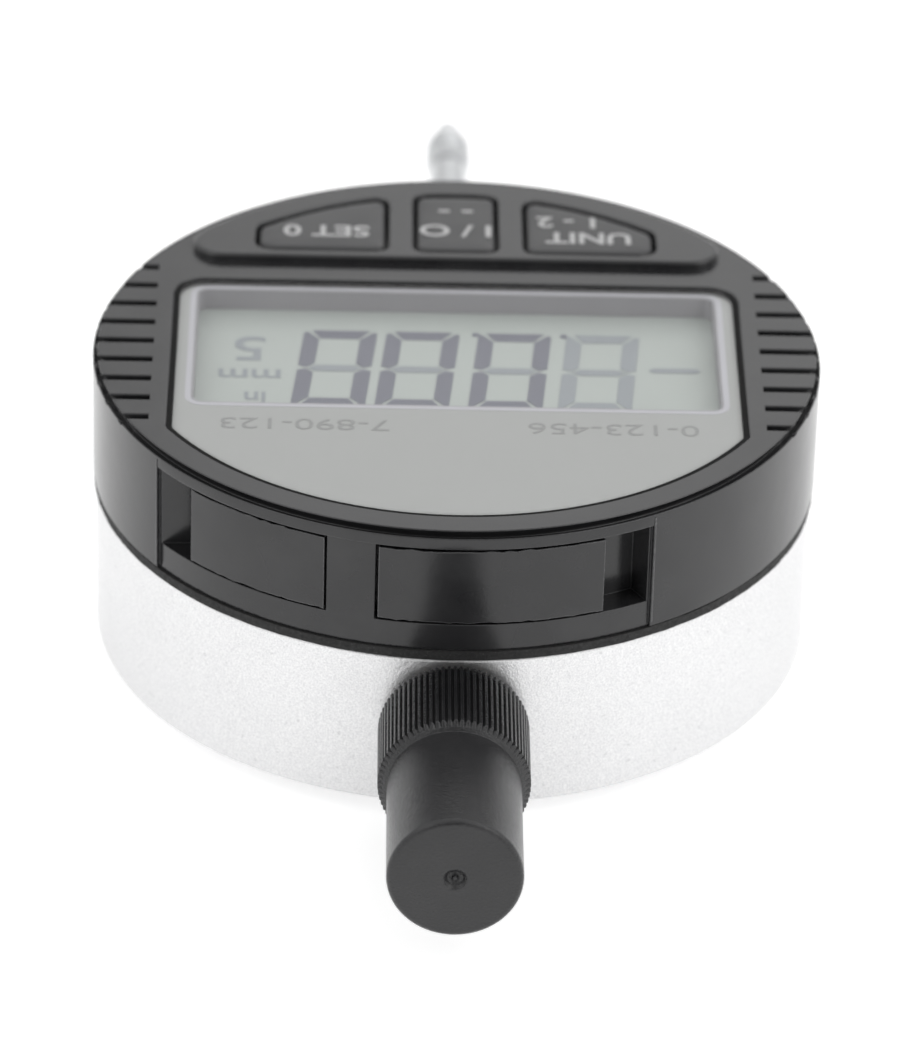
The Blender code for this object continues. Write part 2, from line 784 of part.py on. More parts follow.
def make_display_ring(body):
    """The black moulding: ring wall, dial face, key panel, grip grooves and the two hatch openings."""
    ring = turned(
        "display_ring",
        [
            (0.0, FACE_TOP),
            (FACE_R - 0.15, FACE_TOP),
            (FACE_R, FACE_TOP - 0.15),
            (FACE_R, FACE_TOP - 0.35),
            (UNDERCUT_R, FACE_TOP - 0.4),
            (UNDERCUT_R, LIP_TOP - 0.35),
            (RING_R - 0.1, LIP_TOP),
            (RING_R, LIP_TOP - 0.1),
            (RING_R, RING_LOW + 0.12),
            (RING_R - 0.12, RING_LOW),
            (RING_BORE, RING_LOW),
            (RING_BORE, FACE_LOW),
            (0.0, FACE_LOW),
        ],
        segments=RING_STEPS,
    )
    thick = sector(THICK_WALL_BORE, RING_BORE + 0.4, (PAD_ANGLES[0] - 4, PAD_ANGLES[1] + 4))
    join(ring, slab("hatch_wall", [thick], HATCH_WALL_LOW, HATCH_WALL_TOP))
    for number, angle in enumerate(DISPLAY_SCREW_ANGLES, 1):
        boss = sector(22.6, RING_BORE + 0.4, (angle - 4.5, angle + 4.5))
        place = polar(DISPLAY_SCREW_R, angle)
        join(ring, slab(f"screw_boss_{number}", [boss], HATCH_WALL_LOW, 19.0))
        cut(ring, rod(f"screw_boss_hole_{number}", 0.85, 16.0, 18.7, at=place, segments=12))
    join(ring, slab("key_panel", [panel_outline()], FACE_TOP - 0.4, PANEL_TOP))
    cut(ring, slab("window", [window_outline(WINDOW_GAP)], FACE_LOW - 1, PANEL_TOP + 1))
    for side in (-1, 0, 1):
        cut(ring, slab(f"key_opening_{side + 2}", [key_outline(side)], FACE_LOW - 1, PANEL_TOP + 1))
    cut(ring, slab("hatch_pad", [sector(PAD_R, RING_R + 1, PAD_ANGLES)], RING_LOW - 1, DOOR_HIGH + 0.05))
    battery_recess = (BATTERY_DOOR[1] - SEAM_ANGLE, PAD_ANGLES[1] - SEAM_ANGLE)
    data_recess = (PAD_ANGLES[0] + SEAM_ANGLE, DATA_DOOR[0] + SEAM_ANGLE)
    cut_hatch(ring, "battery", BATTERY_DOOR, battery_recess, 0.0, 13.9, (DOOR_LOW + 0.2, DOOR_HIGH - 0.6))
    cut_hatch(ring, "data", DATA_DOOR, data_recess, DATA_RECESS_TAPER, 7.2, (20.4, 22.8))
    cut(ring, *grip_grooves())
    part(ring, "black_plastic", body)


def recess_outline(recess, taper):
    """A finger recess seen from above; taper is how many degrees its first end slopes back."""
    start, end = recess
    return [*arc(RING_R + 1.1, start, end), *arc(RECESS_R, end, start + taper), polar(PAD_R, start)]


def cut_hatch(ring, name, door, recess, taper, half_opening, heights):
    """Cuts a cover's rebate, the finger recess that runs into it and the opening behind it."""
    middle = sum(door) / 2
    through = (middle - half_opening, middle + half_opening)
    cut(
        ring,
        slab(name + "_rebate", [sector(COVER_BACK_R, RING_R + 1, door)], DOOR_LOW, DOOR_HIGH),
        slab(name + "_recess", [recess_outline(recess, taper)], DOOR_LOW + 0.01, DOOR_HIGH - 0.01),
        slab(name + "_opening", [sector(THICK_WALL_BORE - 1, COVER_BACK_R + 1, through)], *heights),
    )


def grip_grooves():
    """Straight grooves across the edge of the face, on its left and right."""
    cutters = []
    half = (GROOVES_A_SIDE - 1) // 2
    for side, name in ((-1, "left"), (1, "right")):
        for step in range(-half, half + 1):
            y = GROOVE_CENTRE + step * GROOVE_PITCH
            x = sorted((side * GROOVE_INNER, side * (RING_R + 1)))
            low = (x[0], y - GROOVE_WIDTH / 2, FACE_TOP - 0.7)
            high = (x[1], y + GROOVE_WIDTH / 2, FACE_TOP + 1)
            cutters.append(box(f"groove_{name}_{step + half + 1}", low, high))
    return cutters


def make_chassis(body):
    """The plate that closes the display's underside and turns on the case's neck."""
    bore = NECK_R + 0.08
    chassis = turned(
        "display_chassis",
        [(bore, CHASSIS_TOP), (26.3, CHASSIS_TOP), (26.3, CHASSIS_LOW), (bore, CHASSIS_LOW)],
        segments=48,
    )
    post_low = CHASSIS_TOP - 0.4
    for number, place in enumerate(BOARD_SCREWS, 1):
        join(chassis, rod(f"board_post_{number}", 1.6, post_low, BOARD_LOW - 0.1, at=place, segments=12))
        cut(chassis, rod(f"board_post_hole_{number}", 0.65, 17.4, BOARD_TOP, at=place, segments=12))
    for number, place in places_round(DISPLAY_SCREW_R, DISPLAY_SCREW_ANGLES):
        cut(chassis, rod(f"chassis_hole_{number}", 0.9, 15.0, 18.0, at=place, segments=12))
        cut(chassis, rod(f"chassis_counterbore_{number}", 1.6, 15.0, 16.45, at=place, segments=12))
        fastener = screw(f"display_screw_{number}", place, 16.36, 1.35, 0.4, 0.7, 2.1)
        part(fastener, "dark_steel", body)
    part(chassis, "black_plastic", body)


def make_main_board(body):
    board = slab("main_board", [arc(BOARD_R, 0, 354, step=6)], BOARD_LOW, BOARD_TOP)
    cut(board, box("battery_notch", (-4.7, -30.0, 18.0), (8.5, -13.9, 22.0)))
    for number, place in enumerate(BOARD_SCREWS, 1):
        cut(board, rod(f"board_hole_{number}", 0.8, BOARD_LOW - 1, BOARD_TOP + 1, at=place, segments=12))
        fastener = screw(f"board_screw_{number}", place, BOARD_TOP + 0.08, 1.15, 0.6, 0.55, 2.6, pointing=-1)
        part(fastener, "dark_steel", body)
    part(board, "circuit_board", body)
    chip = turned(
        "controller_chip",
        [(0.0, 21.5), (1.6, 21.4), (2.6, 21.0), (3.0, BOARD_TOP + 0.1), (0.0, BOARD_TOP + 0.1)],
        24,
        at=(-4.0, -1.0),
    )
    part(chip, "seal_rubber", body)


def make_screen(body):
    """The liquid-crystal glass, its frame, the conductive strips under it, the printed mask and the lens."""
    opening = rectangle(-OPENING_HALF, OPENING_NEAR, OPENING_HALF, OPENING_FAR, 0.8)
    lens = slab("lens", [window_outline(0.0)], MASK_TOP + 0.06, FACE_TOP - 0.03)
    part(lens, "clear_lens", body)
    mask = slab("lens_mask", [window_outline(0.6, far_grow=1.2), opening], MASK_LOW, MASK_TOP)
    part(mask, "silver_mask", body)
    frame = slab("lcd_frame", [rectangle(-22.4, -10.2, 22.4, 11.4, 0.6), opening], 22.3, 24.9)
    cut(frame, box("glass_pocket", (-21.9, -9.9, 21.0), (21.9, 11.1, GLASS_TOP + 0.2)))
    part(frame, "frame_plastic", body)
    part(box("lcd_glass", (-21.6, -9.6, GLASS_LOW), (21.6, 10.8, GLASS_TOP)), "lcd_glass", body)
    for number, y in enumerate((-9.4, 9.8), 1):
        strip = box(f"zebra_strip_{number}", (-20.0, y, BOARD_TOP + 0.1), (20.0, y + 0.9, GLASS_LOW - 0.1))
        part(strip, "seal_rubber", body)


def make_battery(body):
    """The button cell under the key side's hatch, with its two contacts."""
    x, y = polar(BATTERY_REACH, BATTERY_ANGLE)
    cell = turned(
        "battery",
        [
            (0.0, BATTERY_TOP),
            (BATTERY_RADIUS - 0.35, BATTERY_TOP),
            (BATTERY_RADIUS, BATTERY_TOP - 0.35),
            (BATTERY_RADIUS, BATTERY_LOW + 0.6),
            (BATTERY_RADIUS - 0.6, BATTERY_LOW + 0.4),
            (BATTERY_RADIUS - 0.8, BATTERY_LOW),
            (0.0, BATTERY_LOW),
        ],
        28,
        at=(x, y),
    )
    part(cell, "steel", body)
    plate_top = BATTERY_LOW - 0.13
    plate_low = plate_top - 0.24
    low_plate = box("battery_contact_low", (x - 3.5, y - 4.5, plate_low), (x + 3.5, y + 4.5, plate_top))
    foot_low = CHASSIS_TOP + 0.08
    foot = box("battery_contact_foot", (x - 1.5, y + 2.0, foot_low), (x + 1.5, y + 3.0, plate_low + 0.1))
    part(join(low_plate, foot), "brass", body)
    plate_low = BATTERY_TOP + 0.15
    top_plate = box("battery_contact_top", (x - 3.0, y - 4.0, plate_low), (x + 3.0, -12.4, plate_low + 0.2))
    leg = box("battery_contact_leg", (x - 3.0, -12.6, BOARD_TOP + 0.05), (x + 3.0, -12.4, plate_low + 0.1))
    part(join(top_plate, leg), "brass", body)


def make_data_port(body):
    """The small socket behind the other hatch, with its mouth facing out."""
    port = radial_box("data_port", DATA_ANGLE, 23.8, (6.0, 4.4), BOARD_TOP + 0.3, 22.6)
    mouth = radial_box("data_port_mouth", DATA_ANGLE, 25.0, (4.6, 3.6), 21.1, 22.1)
    part(cut(port, mouth), "frame_plastic", body)


def make_door(name, door, half_tab, tab_heights, body):
    """A curved cover that snaps into the ring's wall, with a tab at each end."""
    play = 0.25
    middle = sum(door) / 2
    plate = (door[0] + play, door[1] - play)
    cover = slab(name, [sector(COVER_BACK_R + 0.12, PAD_R, plate)], DOOR_LOW + 0.12, DOOR_HIGH - 0.12)
    for number, side in enumerate((-1, 1), 1):
        edge = middle + side * half_tab
        angles = sorted((edge, edge - side * 1.6))
        tab = sector(26.3, COVER_BACK_R + 0.4, angles)
        join(cover, slab(f"{name}_tab_{number}", [tab], *tab_heights))
    part(cover, "black_plastic", body)


def make_key(name, side, body):
    """A key: a cap through the panel, a flange that keeps it in and a stem over its switch."""
    x, y = KEY_CENTRES[side]
    cap = slab(name, [key_outline(side, -KEY_GAP)], 24.6, PANEL_TOP + 0.1)
    flange = slab(name + "_flange", [key_outline(side, 0.5)], 24.2, 24.95)
    stem = rod(name + "_stem", 1.3, 22.6, 24.4, at=(x, y), segments=16)
    part(join(cap, flange, stem), "key_rubber", body)


def make_switch(name, side, body):
    x, y = KEY_CENTRES[side]
    switch = box(name, (x - 1.8, y - 1.8, BOARD_TOP + 0.1), (x + 1.8, y + 1.8, 21.6))
    plunger = rod(name + "_plunger", 0.8, 21.4, 22.0, at=(x, y), segments=16)
    part(join(switch, plunger), "dark_steel", body)


def make_display(body):
    make_display_ring(body)
    make_chassis(body)
    make_main_board(body)
    make_screen(body)
    make_battery(body)
    make_data_port(body)
    make_switch("zero_switch", -1, body)
    make_switch("power_switch", 0, body)
    make_switch("unit_switch", 1, body)


# ---------------------------------------------------------------- dust cap


def make_dust_cap(body):
    """The hollow screw-on cap over the spindle's upper end, with a knurled collar."""
    place = (0.0, AXIS_Z)
    cap = turned(
        "dust_cap",
        [
            (0.0, CAP_END),
            (BARREL_R - 0.25, CAP_END),
            (BARREL_R, CAP_END - 0.25),
            (BARREL_R, CAP_NEAR + 0.3),
            (CAP_THREAD_R, CAP_NEAR + 0.3),
            (CAP_THREAD_R, CAP_STEP),
            (CAP_BORE_R, CAP_STEP + 0.7),
            (CAP_BORE_R, CAP_END - CAP_WALL),
            (0.0, CAP_END - CAP_WALL),
        ],
        40,
        "-Y",
        place,
    )
    teeth = []
    for step in range(2 * KNURL_TEETH):
        radius = KNURL_R - (KNURL_DEPTH if step % 2 else 0.0)
        teeth.append(polar(radius, 180 * step / KNURL_TEETH))
    half_length = (KNURL_END - CAP_NEAR) / 2
    collar = slab("cap_collar", [teeth, arc(CAP_THREAD_R, 0, 351, step=9)], -half_length, half_length)
    collar.location = Vector((0.0, -(KNURL_END + CAP_NEAR) / 2, AXIS_Z)) * MM
    collar.rotation_euler = (math.radians(90), 0.0, 0.0)
    part(join(cap, collar), "black_plastic", body)


# ---------------------------------------------------------------- assembly


def shade_round(obj):
    """Smooth shading on everything but the sharp edges."""
    obj.data.shade_smooth()
    obj.data.set_sharp_from_angle(angle=math.radians(35))


def main():
    make_case()
    spindle = pivot("spindle_slide", (0.0, 0.0, AXIS_Z))
    make_spindle(spindle)
    make_carriage(spindle)
    part(wire("return_spring", spring_path(SPRING_MOVING_Y, SPRING_FIXED_Y), 0.22), "steel")
    display = pivot("display_turn")
    make_display(display)
    keys = {"zero_key": -1, "power_key": 0, "unit_key": 1}
    for name, side in keys.items():
        guide = pivot(name + "_guide", (*KEY_CENTRES[side], PANEL_TOP))
        make_key(name, side, guide)
    battery_side = pivot("battery_cover_slide", (*polar(PAD_R, BATTERY_ANGLE), (DOOR_LOW + DOOR_HIGH) / 2))
    make_door("battery_cover", BATTERY_DOOR, 13.6, (19.8, 22.8), battery_side)
    data_side = pivot("data_port_cover_slide", (*polar(PAD_R, DATA_ANGLE), (DOOR_LOW + DOOR_HIGH) / 2))
    make_door("data_port_cover", DATA_DOOR, 6.9, (20.7, 22.5), data_side)
    cap = pivot("dust_cap_thread", (0.0, -CAP_NEAR, AXIS_Z))
    make_dust_cap(cap)
    for obj in PARTS.objects:
        if obj.type == "MESH":
            shade_round(obj)
            if any(modifier.type == "BOOLEAN" for modifier in obj.modifiers):
                merge_flats(obj)


main()
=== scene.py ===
"""Looks of the digital dial indicator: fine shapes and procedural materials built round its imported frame.

Lengths are in millimetres and become metres where a shape is made. Angles round the case are in degrees
from -Y towards +X, as in the frame, so 0 is the side that the dust cap is on.
"""

import json
import math

import bmesh
import bpy
from mathutils import Matrix, Vector, noise


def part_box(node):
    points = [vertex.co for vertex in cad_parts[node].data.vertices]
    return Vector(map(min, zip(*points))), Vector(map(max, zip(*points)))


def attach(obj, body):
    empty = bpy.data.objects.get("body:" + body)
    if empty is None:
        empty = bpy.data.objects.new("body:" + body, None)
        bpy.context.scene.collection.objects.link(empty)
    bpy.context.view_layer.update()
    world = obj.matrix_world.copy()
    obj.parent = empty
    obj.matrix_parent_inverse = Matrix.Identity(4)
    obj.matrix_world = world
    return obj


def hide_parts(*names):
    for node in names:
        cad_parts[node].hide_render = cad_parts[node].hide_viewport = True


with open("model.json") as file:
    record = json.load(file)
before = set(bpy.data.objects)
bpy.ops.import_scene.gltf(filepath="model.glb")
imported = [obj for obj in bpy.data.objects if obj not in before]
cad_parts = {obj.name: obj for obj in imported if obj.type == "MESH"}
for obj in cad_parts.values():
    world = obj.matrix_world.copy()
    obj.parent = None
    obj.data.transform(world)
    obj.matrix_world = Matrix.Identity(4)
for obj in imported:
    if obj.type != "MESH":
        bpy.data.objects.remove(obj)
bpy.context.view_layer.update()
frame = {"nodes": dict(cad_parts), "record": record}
MM = 0.001
TURN_STEPS = 300


def box_mm(node):
    low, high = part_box(node)
    return low / MM, high / MM


# ---------------------------------------------------------------- sizes taken from the frame

RING_R = box_mm("display_ring")[1].x
RING_LOW = box_mm("display_ring")[0].z
PANEL_TOP = box_mm("display_ring")[1].z
LENS_LOW, LENS_HIGH = box_mm("lens")
FACE_TOP = LENS_HIGH.z + 0.03
FACE_LOW = FACE_TOP - 1.0
MASK_LOW = box_mm("lens_mask")[0].z
MASK_TOP = box_mm("lens_mask")[1].z
FILM_TOP = MASK_TOP + 0.6
GLASS_TOP = box_mm("lcd_glass")[1].z
KEY_TOP = box_mm("power_key")[1].z
SEAL_LOW = box_mm("seal_ring")[0].z
SEAL_TOP = box_mm("seal_ring")[1].z
CASE_R = box_mm("case_shell")[1].x
CASE_LOW = box_mm("case_shell")[0].z
NECK_TOP = box_mm("case_shell")[1].z
BACK_R = box_mm("back_cover")[1].x
BACK_TOP = box_mm("back_cover")[1].z
AXIS_Z = (box_mm("spindle")[0].z + box_mm("spindle")[1].z) / 2
SPINDLE_R = box_mm("spindle")[1].x
SPINDLE_TOP = box_mm("spindle")[0].y
BALL_LOW, BALL_HIGH = box_mm("contact_ball")
BALL_R = (BALL_HIGH.y - BALL_LOW.y) / 2
BALL_CENTRE = (BALL_HIGH.y + BALL_LOW.y) / 2
STEM_R = box_mm("stem")[1].x
STEM_ROOT = box_mm("stem")[0].y
STEM_END = box_mm("stem")[1].y
BUSH_LOW, BUSH_HIGH = box_mm("stem_bush")
CAP_NEAR = -box_mm("dust_cap")[1].y
CAP_END = -box_mm("dust_cap")[0].y
KNURL_R = box_mm("dust_cap")[1].x
DOOR_GAP = 0.12
DOOR_LOW = box_mm("battery_cover")[0].z - DOOR_GAP
DOOR_HIGH = box_mm("battery_cover")[1].z + DOOR_GAP

# The case, its stem and the spindle.
NECK_BORE = 9.0
NECK_R = 12.2
CASE_WALL = 3.75
DECK_THICK = 1.8
DECK_TOP = SEAL_LOW - 0.04
SEAL_BORE = 27.2
BACK_FIT = 0.3
BACK_RECESS = 0.7
BACK_GROOVE_R = 24.1
SCREW_HOLE_R = 1.1
SCREW_HEAD_R = 2.1
SCREW_HEAD_DEPTH = 1.05
STEM_BORE = 2.3
BUSH_SHANK_R = 2.22
RUNNING_FIT = 0.07
POINT_R = 2.0
POINT_THREAD_R = 1.1
POINT_SOCKET_R = 1.25
NOSE = BALL_CENTRE - 7.6

# The display's ring, and the pad, the covers and the recesses in its wall.
LIP_TOP = PANEL_TOP - 1.15
FACE_R = RING_R - 0.34
UNDERCUT_R = RING_R - 0.8
RING_BORE = RING_R - 2.4
THICK_BORE = RING_R - 3.4
PAD_R = RING_R - 0.28
COVER_BACK_R = RING_R - 1.5
RECESS_R = RING_R - 2.5
TAB_R = RING_R - 2.7
HATCH_WALL_LOW = 17.2
PAD_ANGLES = (-53.5, 31.2)
SEAM_ANGLE = 0.5
PAD_END_RIDGE_ANGLE = 0.3
BATTERY_DOOR = (-12.7, 23.3)
DATA_DOOR = (-45.9, -20.4)
DATA_RECESS_TAPER = 3.4

# The window, the key panel and the grip grooves in its face.
WINDOW_HALF = LENS_HIGH.x
WINDOW_FAR = LENS_HIGH.y
WINDOW_R = -LENS_LOW.y
WINDOW_GAP = 0.36
LENS_INSET = 0.08
OPENING_HALF = 20.85
OPENING_NEAR = -8.7
OPENING_FAR = 9.7
PANEL_R = RING_R - 1.6
PANEL_NEAR = 13.7
KEY_NEAR = 14.7
KEY_R = 24.9
KEY_SIDES = ((-3.5, 3.5), (5.5, 16.4))
KEY_GAP = 0.3
KEY_FLANGE_LOW = 24.2
KEY_FLANGE_TOP = 24.95
KEY_STEM_R = 1.3
GROOVES_A_SIDE = 9
GROOVE_PITCH = 3.06
GROOVE_CENTRE = 0.25
GROOVE_WIDTH = 0.76
GROOVE_DEPTH = 0.7
GROOVE_INNER = 24.15

# The dust cap, and where the camera stands.
KNURL_END = CAP_NEAR + 8.55
KNURL_TEETH = 76
KNURL_DEPTH = 0.26
KNURL_ROOT = KNURL_R - 0.41
BARREL_R = KNURL_R - 0.7
CAP_THREAD_R = 4.0
CAP_THREAD_END = CAP_NEAR + 4.8
CAP_BORE_R = 3.1
CAP_FLOOR = 1.4
CAMERA_PLACE = Vector((-8.83, -448.65, 275.85))


# ---------------------------------------------------------------- node helpers


def put(tree, kind, sockets=None, **settings):
    """Adds a shader node; sockets maps an input's name or number to a value or to a node's output."""
    made = tree.nodes.new("ShaderNode" + kind)
    for name, value in settings.items():
        setattr(made, name, value)
    for name, value in (sockets or {}).items():
        if isinstance(value, bpy.types.NodeSocket):
            tree.links.new(value, made.inputs[name])
        else:
            made.inputs[name].default_value = value
    return made


def grain(tree, size, detail=2.0, stretch=(1.0, 1.0, 1.0)):
    """Noise between 0 and 1 whose lumps are about size millimetres, longer along the stretched axes."""
    place = put(tree, "TexCoord").outputs["Object"]
    scale = [1 / (size * MM * share) for share in stretch]
    scaled = put(tree, "VectorMath", {0: place, 1: scale}, operation="MULTIPLY").outputs[0]
    return put(tree, "TexNoise", {"Vector": scaled, "Scale": 1.0, "Detail": detail}).outputs["Fac"]


def span(tree, value, start, end, low, high):
    """Maps value from start..end to low..high, and holds it at the ends."""
    sockets = {"Value": value, "From Min": start, "From Max": end, "To Min": low, "To Max": high}
    return put(tree, "MapRange", sockets).outputs["Result"]


def mixed(tree, factor, first, second):
    """A colour between two."""
    made = put(tree, "Mix", {0: factor}, data_type="RGBA")
    for socket, colour in ((6, first), (7, second)):
        if isinstance(colour, bpy.types.NodeSocket):
            tree.links.new(colour, made.inputs[socket])
        else:
            made.inputs[socket].default_value = (*colour, 1.0)
    return made.outputs[2]


def arithmetic(tree, operation, first, second=0.0):
    return put(tree, "Math", {0: first, 1: second}, operation=operation).outputs[0]


def stripes(tree, pitch, start, end):
    """Bars across Y, one every pitch millimetres: a sine, cut off under start and over end."""
    along = put(tree, "SeparateXYZ", {0: put(tree, "TexCoord").outputs["Object"]}).outputs["Y"]
    wave = arithmetic(tree, "SINE", arithmetic(tree, "MULTIPLY", along, math.tau / (pitch * MM)))
    return span(tree, wave, start, end, 0.0, 1.0)


def relief(tree, height, depth, normal=None):
    """A bumped normal: height is 0 to 1 and depth is how many millimetres that means."""
    sockets = {"Height": height, "Distance": depth * MM, "Strength": 1.0}
    if normal is not None:
        sockets["Normal"] = normal
    return put(tree, "Bump", sockets).outputs["Normal"]


def soft_edge(tree, radius):
    """A normal that rounds every edge by radius millimetres."""
    return put(tree, "Bevel", {"Radius": radius * MM}, samples=4).outputs["Normal"]


def edge_highlight_and_wear(tree, rounded_normal):
    """0 on flat ground, rising to 1 on edges."""
    flat = put(tree, "NewGeometry").outputs["Normal"]
    alike = put(tree, "VectorMath", {0: rounded_normal, 1: flat}, operation="DOT_PRODUCT")
    return span(tree, alike.outputs["Value"], 1.0, 0.86, 0.0, 1.0)


def new_finish(name, roughness, metallic=0.0):
    """A Principled material, as (material, its node tree, a function that feeds the shader's inputs)."""
    made = bpy.data.materials.new(name)
    made.use_nodes = True
    tree = made.node_tree
    shader = tree.nodes["Principled BSDF"]
    shader.inputs["Metallic"].default_value = metallic
    shader.inputs["Roughness"].default_value = roughness

    def feed(**values):
        for name, value in values.items():
            socket = shader.inputs[name.replace("_", " ")]
            if isinstance(value, bpy.types.NodeSocket):
                tree.links.new(value, socket)
            else:
                socket.default_value = value

    return made, tree, feed


# ---------------------------------------------------------------- materials


def moulded_black(name, dark, light, roughness, texture, edge=0.12, sink=0.03, edge_highlight_range=(0.03, 0.25)):
    """Black moulded plastic: a fine texture, slow sink marks, and soft edges painted lighter, a painted
    highlight with a little wear in it.
    """
    made, tree, feed = new_finish(name, roughness)
    rounded_normal = soft_edge(tree, edge)
    fine = grain(tree, 0.16, 3.0)
    slow = grain(tree, 5.0, 3.0)
    colour = mixed(tree, span(tree, slow, 0.35, 0.65, 0.0, 1.0), dark, light)
    patchy = span(tree, fine, 0.3, 0.6, *edge_highlight_range)
    # Painted highlight: edges are coloured lighter where a rounded edge would catch the light, with a
    # little wear mixed in.
    painted_edge_highlight = arithmetic(tree, "MULTIPLY", edge_highlight_and_wear(tree, rounded_normal), patchy)
    feed(
        Base_Color=mixed(tree, painted_edge_highlight, colour, (0.24, 0.24, 0.245)),
        Roughness=arithmetic(tree, "ADD", span(tree, slow, 0.3, 0.7, -0.02, 0.02), roughness),
        Normal=relief(tree, fine, texture, relief(tree, slow, sink, rounded_normal)),
    )
    return made


def cast_silver():
    """Die casting, blasted and coated silver: a fine sparkling grain with a few darker pits."""
    made, tree, feed = new_finish("cast_silver", 0.36, 0.92)
    fine = grain(tree, 0.13, 3.0)
    coarse = grain(tree, 0.34, 2.0)
    slow = grain(tree, 7.0, 2.0)
    pits = span(tree, grain(tree, 0.5, 1.0), 0.70, 0.76, 0.0, 1.0)
    tone = mixed(tree, span(tree, fine, 0.3, 0.7, 0.0, 1.0), (0.60, 0.60, 0.61), (0.80, 0.80, 0.80))
    height = arithmetic(tree, "ADD", fine, coarse)
    feed(
        Base_Color=mixed(tree, arithmetic(tree, "MULTIPLY", pits, 0.35), tone, (0.40, 0.40, 0.41)),
        Roughness=span(tree, slow, 0.3, 0.7, 0.33, 0.43),
        Normal=relief(tree, height, 0.028, soft_edge(tree, 0.12)),
    )
    return made


def ground_steel():
    """Steel ground round its length, which leaves fine rings and a faint mottling."""
    made, tree, feed = new_finish("ground_steel", 0.2, 1.0)
    colour = (0.56, 0.57, 0.58)
    rings = grain(tree, 0.05, 2.0, (60.0, 1.0, 60.0))
    slow = grain(tree, 2.5, 3.0)
    feed(
        Base_Color=mixed(tree, slow, [0.86 * c for c in colour], colour),
        Roughness=span(tree, rings, 0.3, 0.7, 0.15, 0.30),
        Normal=relief(tree, rings, 0.0012, soft_edge(tree, 0.06)),
    )
    return made


def blackened_steel():
    made, tree, feed = new_finish("blackened_steel", 0.36, 1.0)
    fine = grain(tree, 0.12, 3.0)
    rounded_normal = soft_edge(tree, 0.05)
    feed(
        Base_Color=mixed(tree, edge_highlight_and_wear(tree, rounded_normal), (0.09, 0.09, 0.10), (0.34, 0.34, 0.35)),
        Roughness=span(tree, fine, 0.3, 0.7, 0.28, 0.46),
        Normal=relief(tree, fine, 0.003, rounded_normal),
    )
    return made


def turned_brass():
    made, tree, feed = new_finish("turned_brass", 0.28, 1.0)
    rings = grain(tree, 0.06, 2.0, (50.0, 1.0, 50.0))
    stain = grain(tree, 1.8, 4.0)
    tarnish = span(tree, stain, 0.4, 0.7, 0.0, 1.0)
    feed(
        Base_Color=mixed(tree, tarnish, (0.70, 0.50, 0.22), (0.46, 0.31, 0.13)),
        Roughness=span(tree, stain, 0.3, 0.7, 0.22, 0.40),
        Normal=relief(tree, rings, 0.0015, soft_edge(tree, 0.06)),
    )
    return made


def key_plastic():
    """The keys: a little softer and more matt than the moulding round them."""
    made, tree, feed = new_finish("key_plastic", 0.5)
    fine = grain(tree, 0.14, 3.0)
    slow = grain(tree, 2.4, 2.0)
    feed(
        Base_Color=mixed(tree, slow, (0.018, 0.018, 0.019), (0.027, 0.027, 0.029)),
        Roughness=span(tree, slow, 0.3, 0.7, 0.34, 0.44),
        Sheen_Weight=0.08,
        Normal=relief(tree, fine, 0.004),
    )
    return made


def seal_rubber():
    """Soft black foam rubber with a mottled, slightly dusty skin."""
    made, tree, feed = new_finish("seal_rubber", 0.75)
    lumps = grain(tree, 0.30, 4.0)
    dust = span(tree, grain(tree, 0.12, 2.0), 0.62, 0.75, 0.0, 0.5)
    colour = mixed(tree, lumps, (0.003, 0.003, 0.003), (0.013, 0.013, 0.013))
    feed(
        Base_Color=mixed(tree, dust, colour, (0.10, 0.10, 0.10)),
        Roughness=span(tree, lumps, 0.3, 0.7, 0.6, 0.9),
        Normal=relief(tree, lumps, 0.05),
    )
    return made


def gap_shade_strip():
    """Painted shade: a matt black strip that stands in for the shadow in the gap round the lens; nearly
    without gloss, and slightly uneven.
    """
    made, tree, feed = new_finish("gap_shade_black", 0.8)
    lumps = grain(tree, 0.4, 3.0)
    feed(
        Base_Color=mixed(tree, lumps, (0.004, 0.004, 0.004), (0.012, 0.012, 0.012)),
        Roughness=span(tree, lumps, 0.3, 0.7, 0.7, 0.9),
        Specular_IOR_Level=0.15,
        Normal=relief(tree, lumps, 0.03),
    )
    return made


def clear_acrylic():
    """The lens: light passes straight through, and its faces reflect as acrylic does."""
    made = bpy.data.materials.new("clear_acrylic")
    made.use_nodes = True
    tree = made.node_tree
    tree.nodes.remove(tree.nodes["Principled BSDF"])
    haze = grain(tree, 6.0, 3.0)
    normal = relief(tree, haze, 0.004, soft_edge(tree, 0.08))
    clear = put(tree, "BsdfTransparent", {"Color": (0.985, 0.99, 0.985, 1.0)}).outputs[0]
    rough = span(tree, haze, 0.3, 0.7, 0.015, 0.05)
    gloss = put(tree, "BsdfGlossy", {"Roughness": rough, "Normal": normal}).outputs[0]
    front = arithmetic(tree, "SUBTRACT", 1.0, put(tree, "NewGeometry").outputs["Backfacing"])
    fresnel = put(tree, "Fresnel", {"IOR": 1.35, "Normal": normal}).outputs[0]
    share = arithmetic(tree, "MULTIPLY", fresnel, front)
    both = put(tree, "MixShader", {0: share, 1: clear, 2: gloss}).outputs[0]
    tree.links.new(both, tree.nodes["Material Output"].inputs["Surface"])
    return made


def printed_film(name, colour, speck):
    """Ink printed on film, with the slight unevenness of a screen print."""
    made, tree, feed = new_finish(name, 0.5)
    dots = grain(tree, 0.09, 2.0)
    slow = grain(tree, 9.0, 2.0)
    shade = [c * (1 - speck) for c in colour]
    both = arithmetic(tree, "MULTIPLY", arithmetic(tree, "ADD", dots, slow), 0.5)
    feed(
        Base_Color=mixed(tree, both, shade, colour),
        Roughness=span(tree, dots, 0.3, 0.7, 0.42, 0.58),
        Normal=relief(tree, dots, 0.001),
    )
    return made


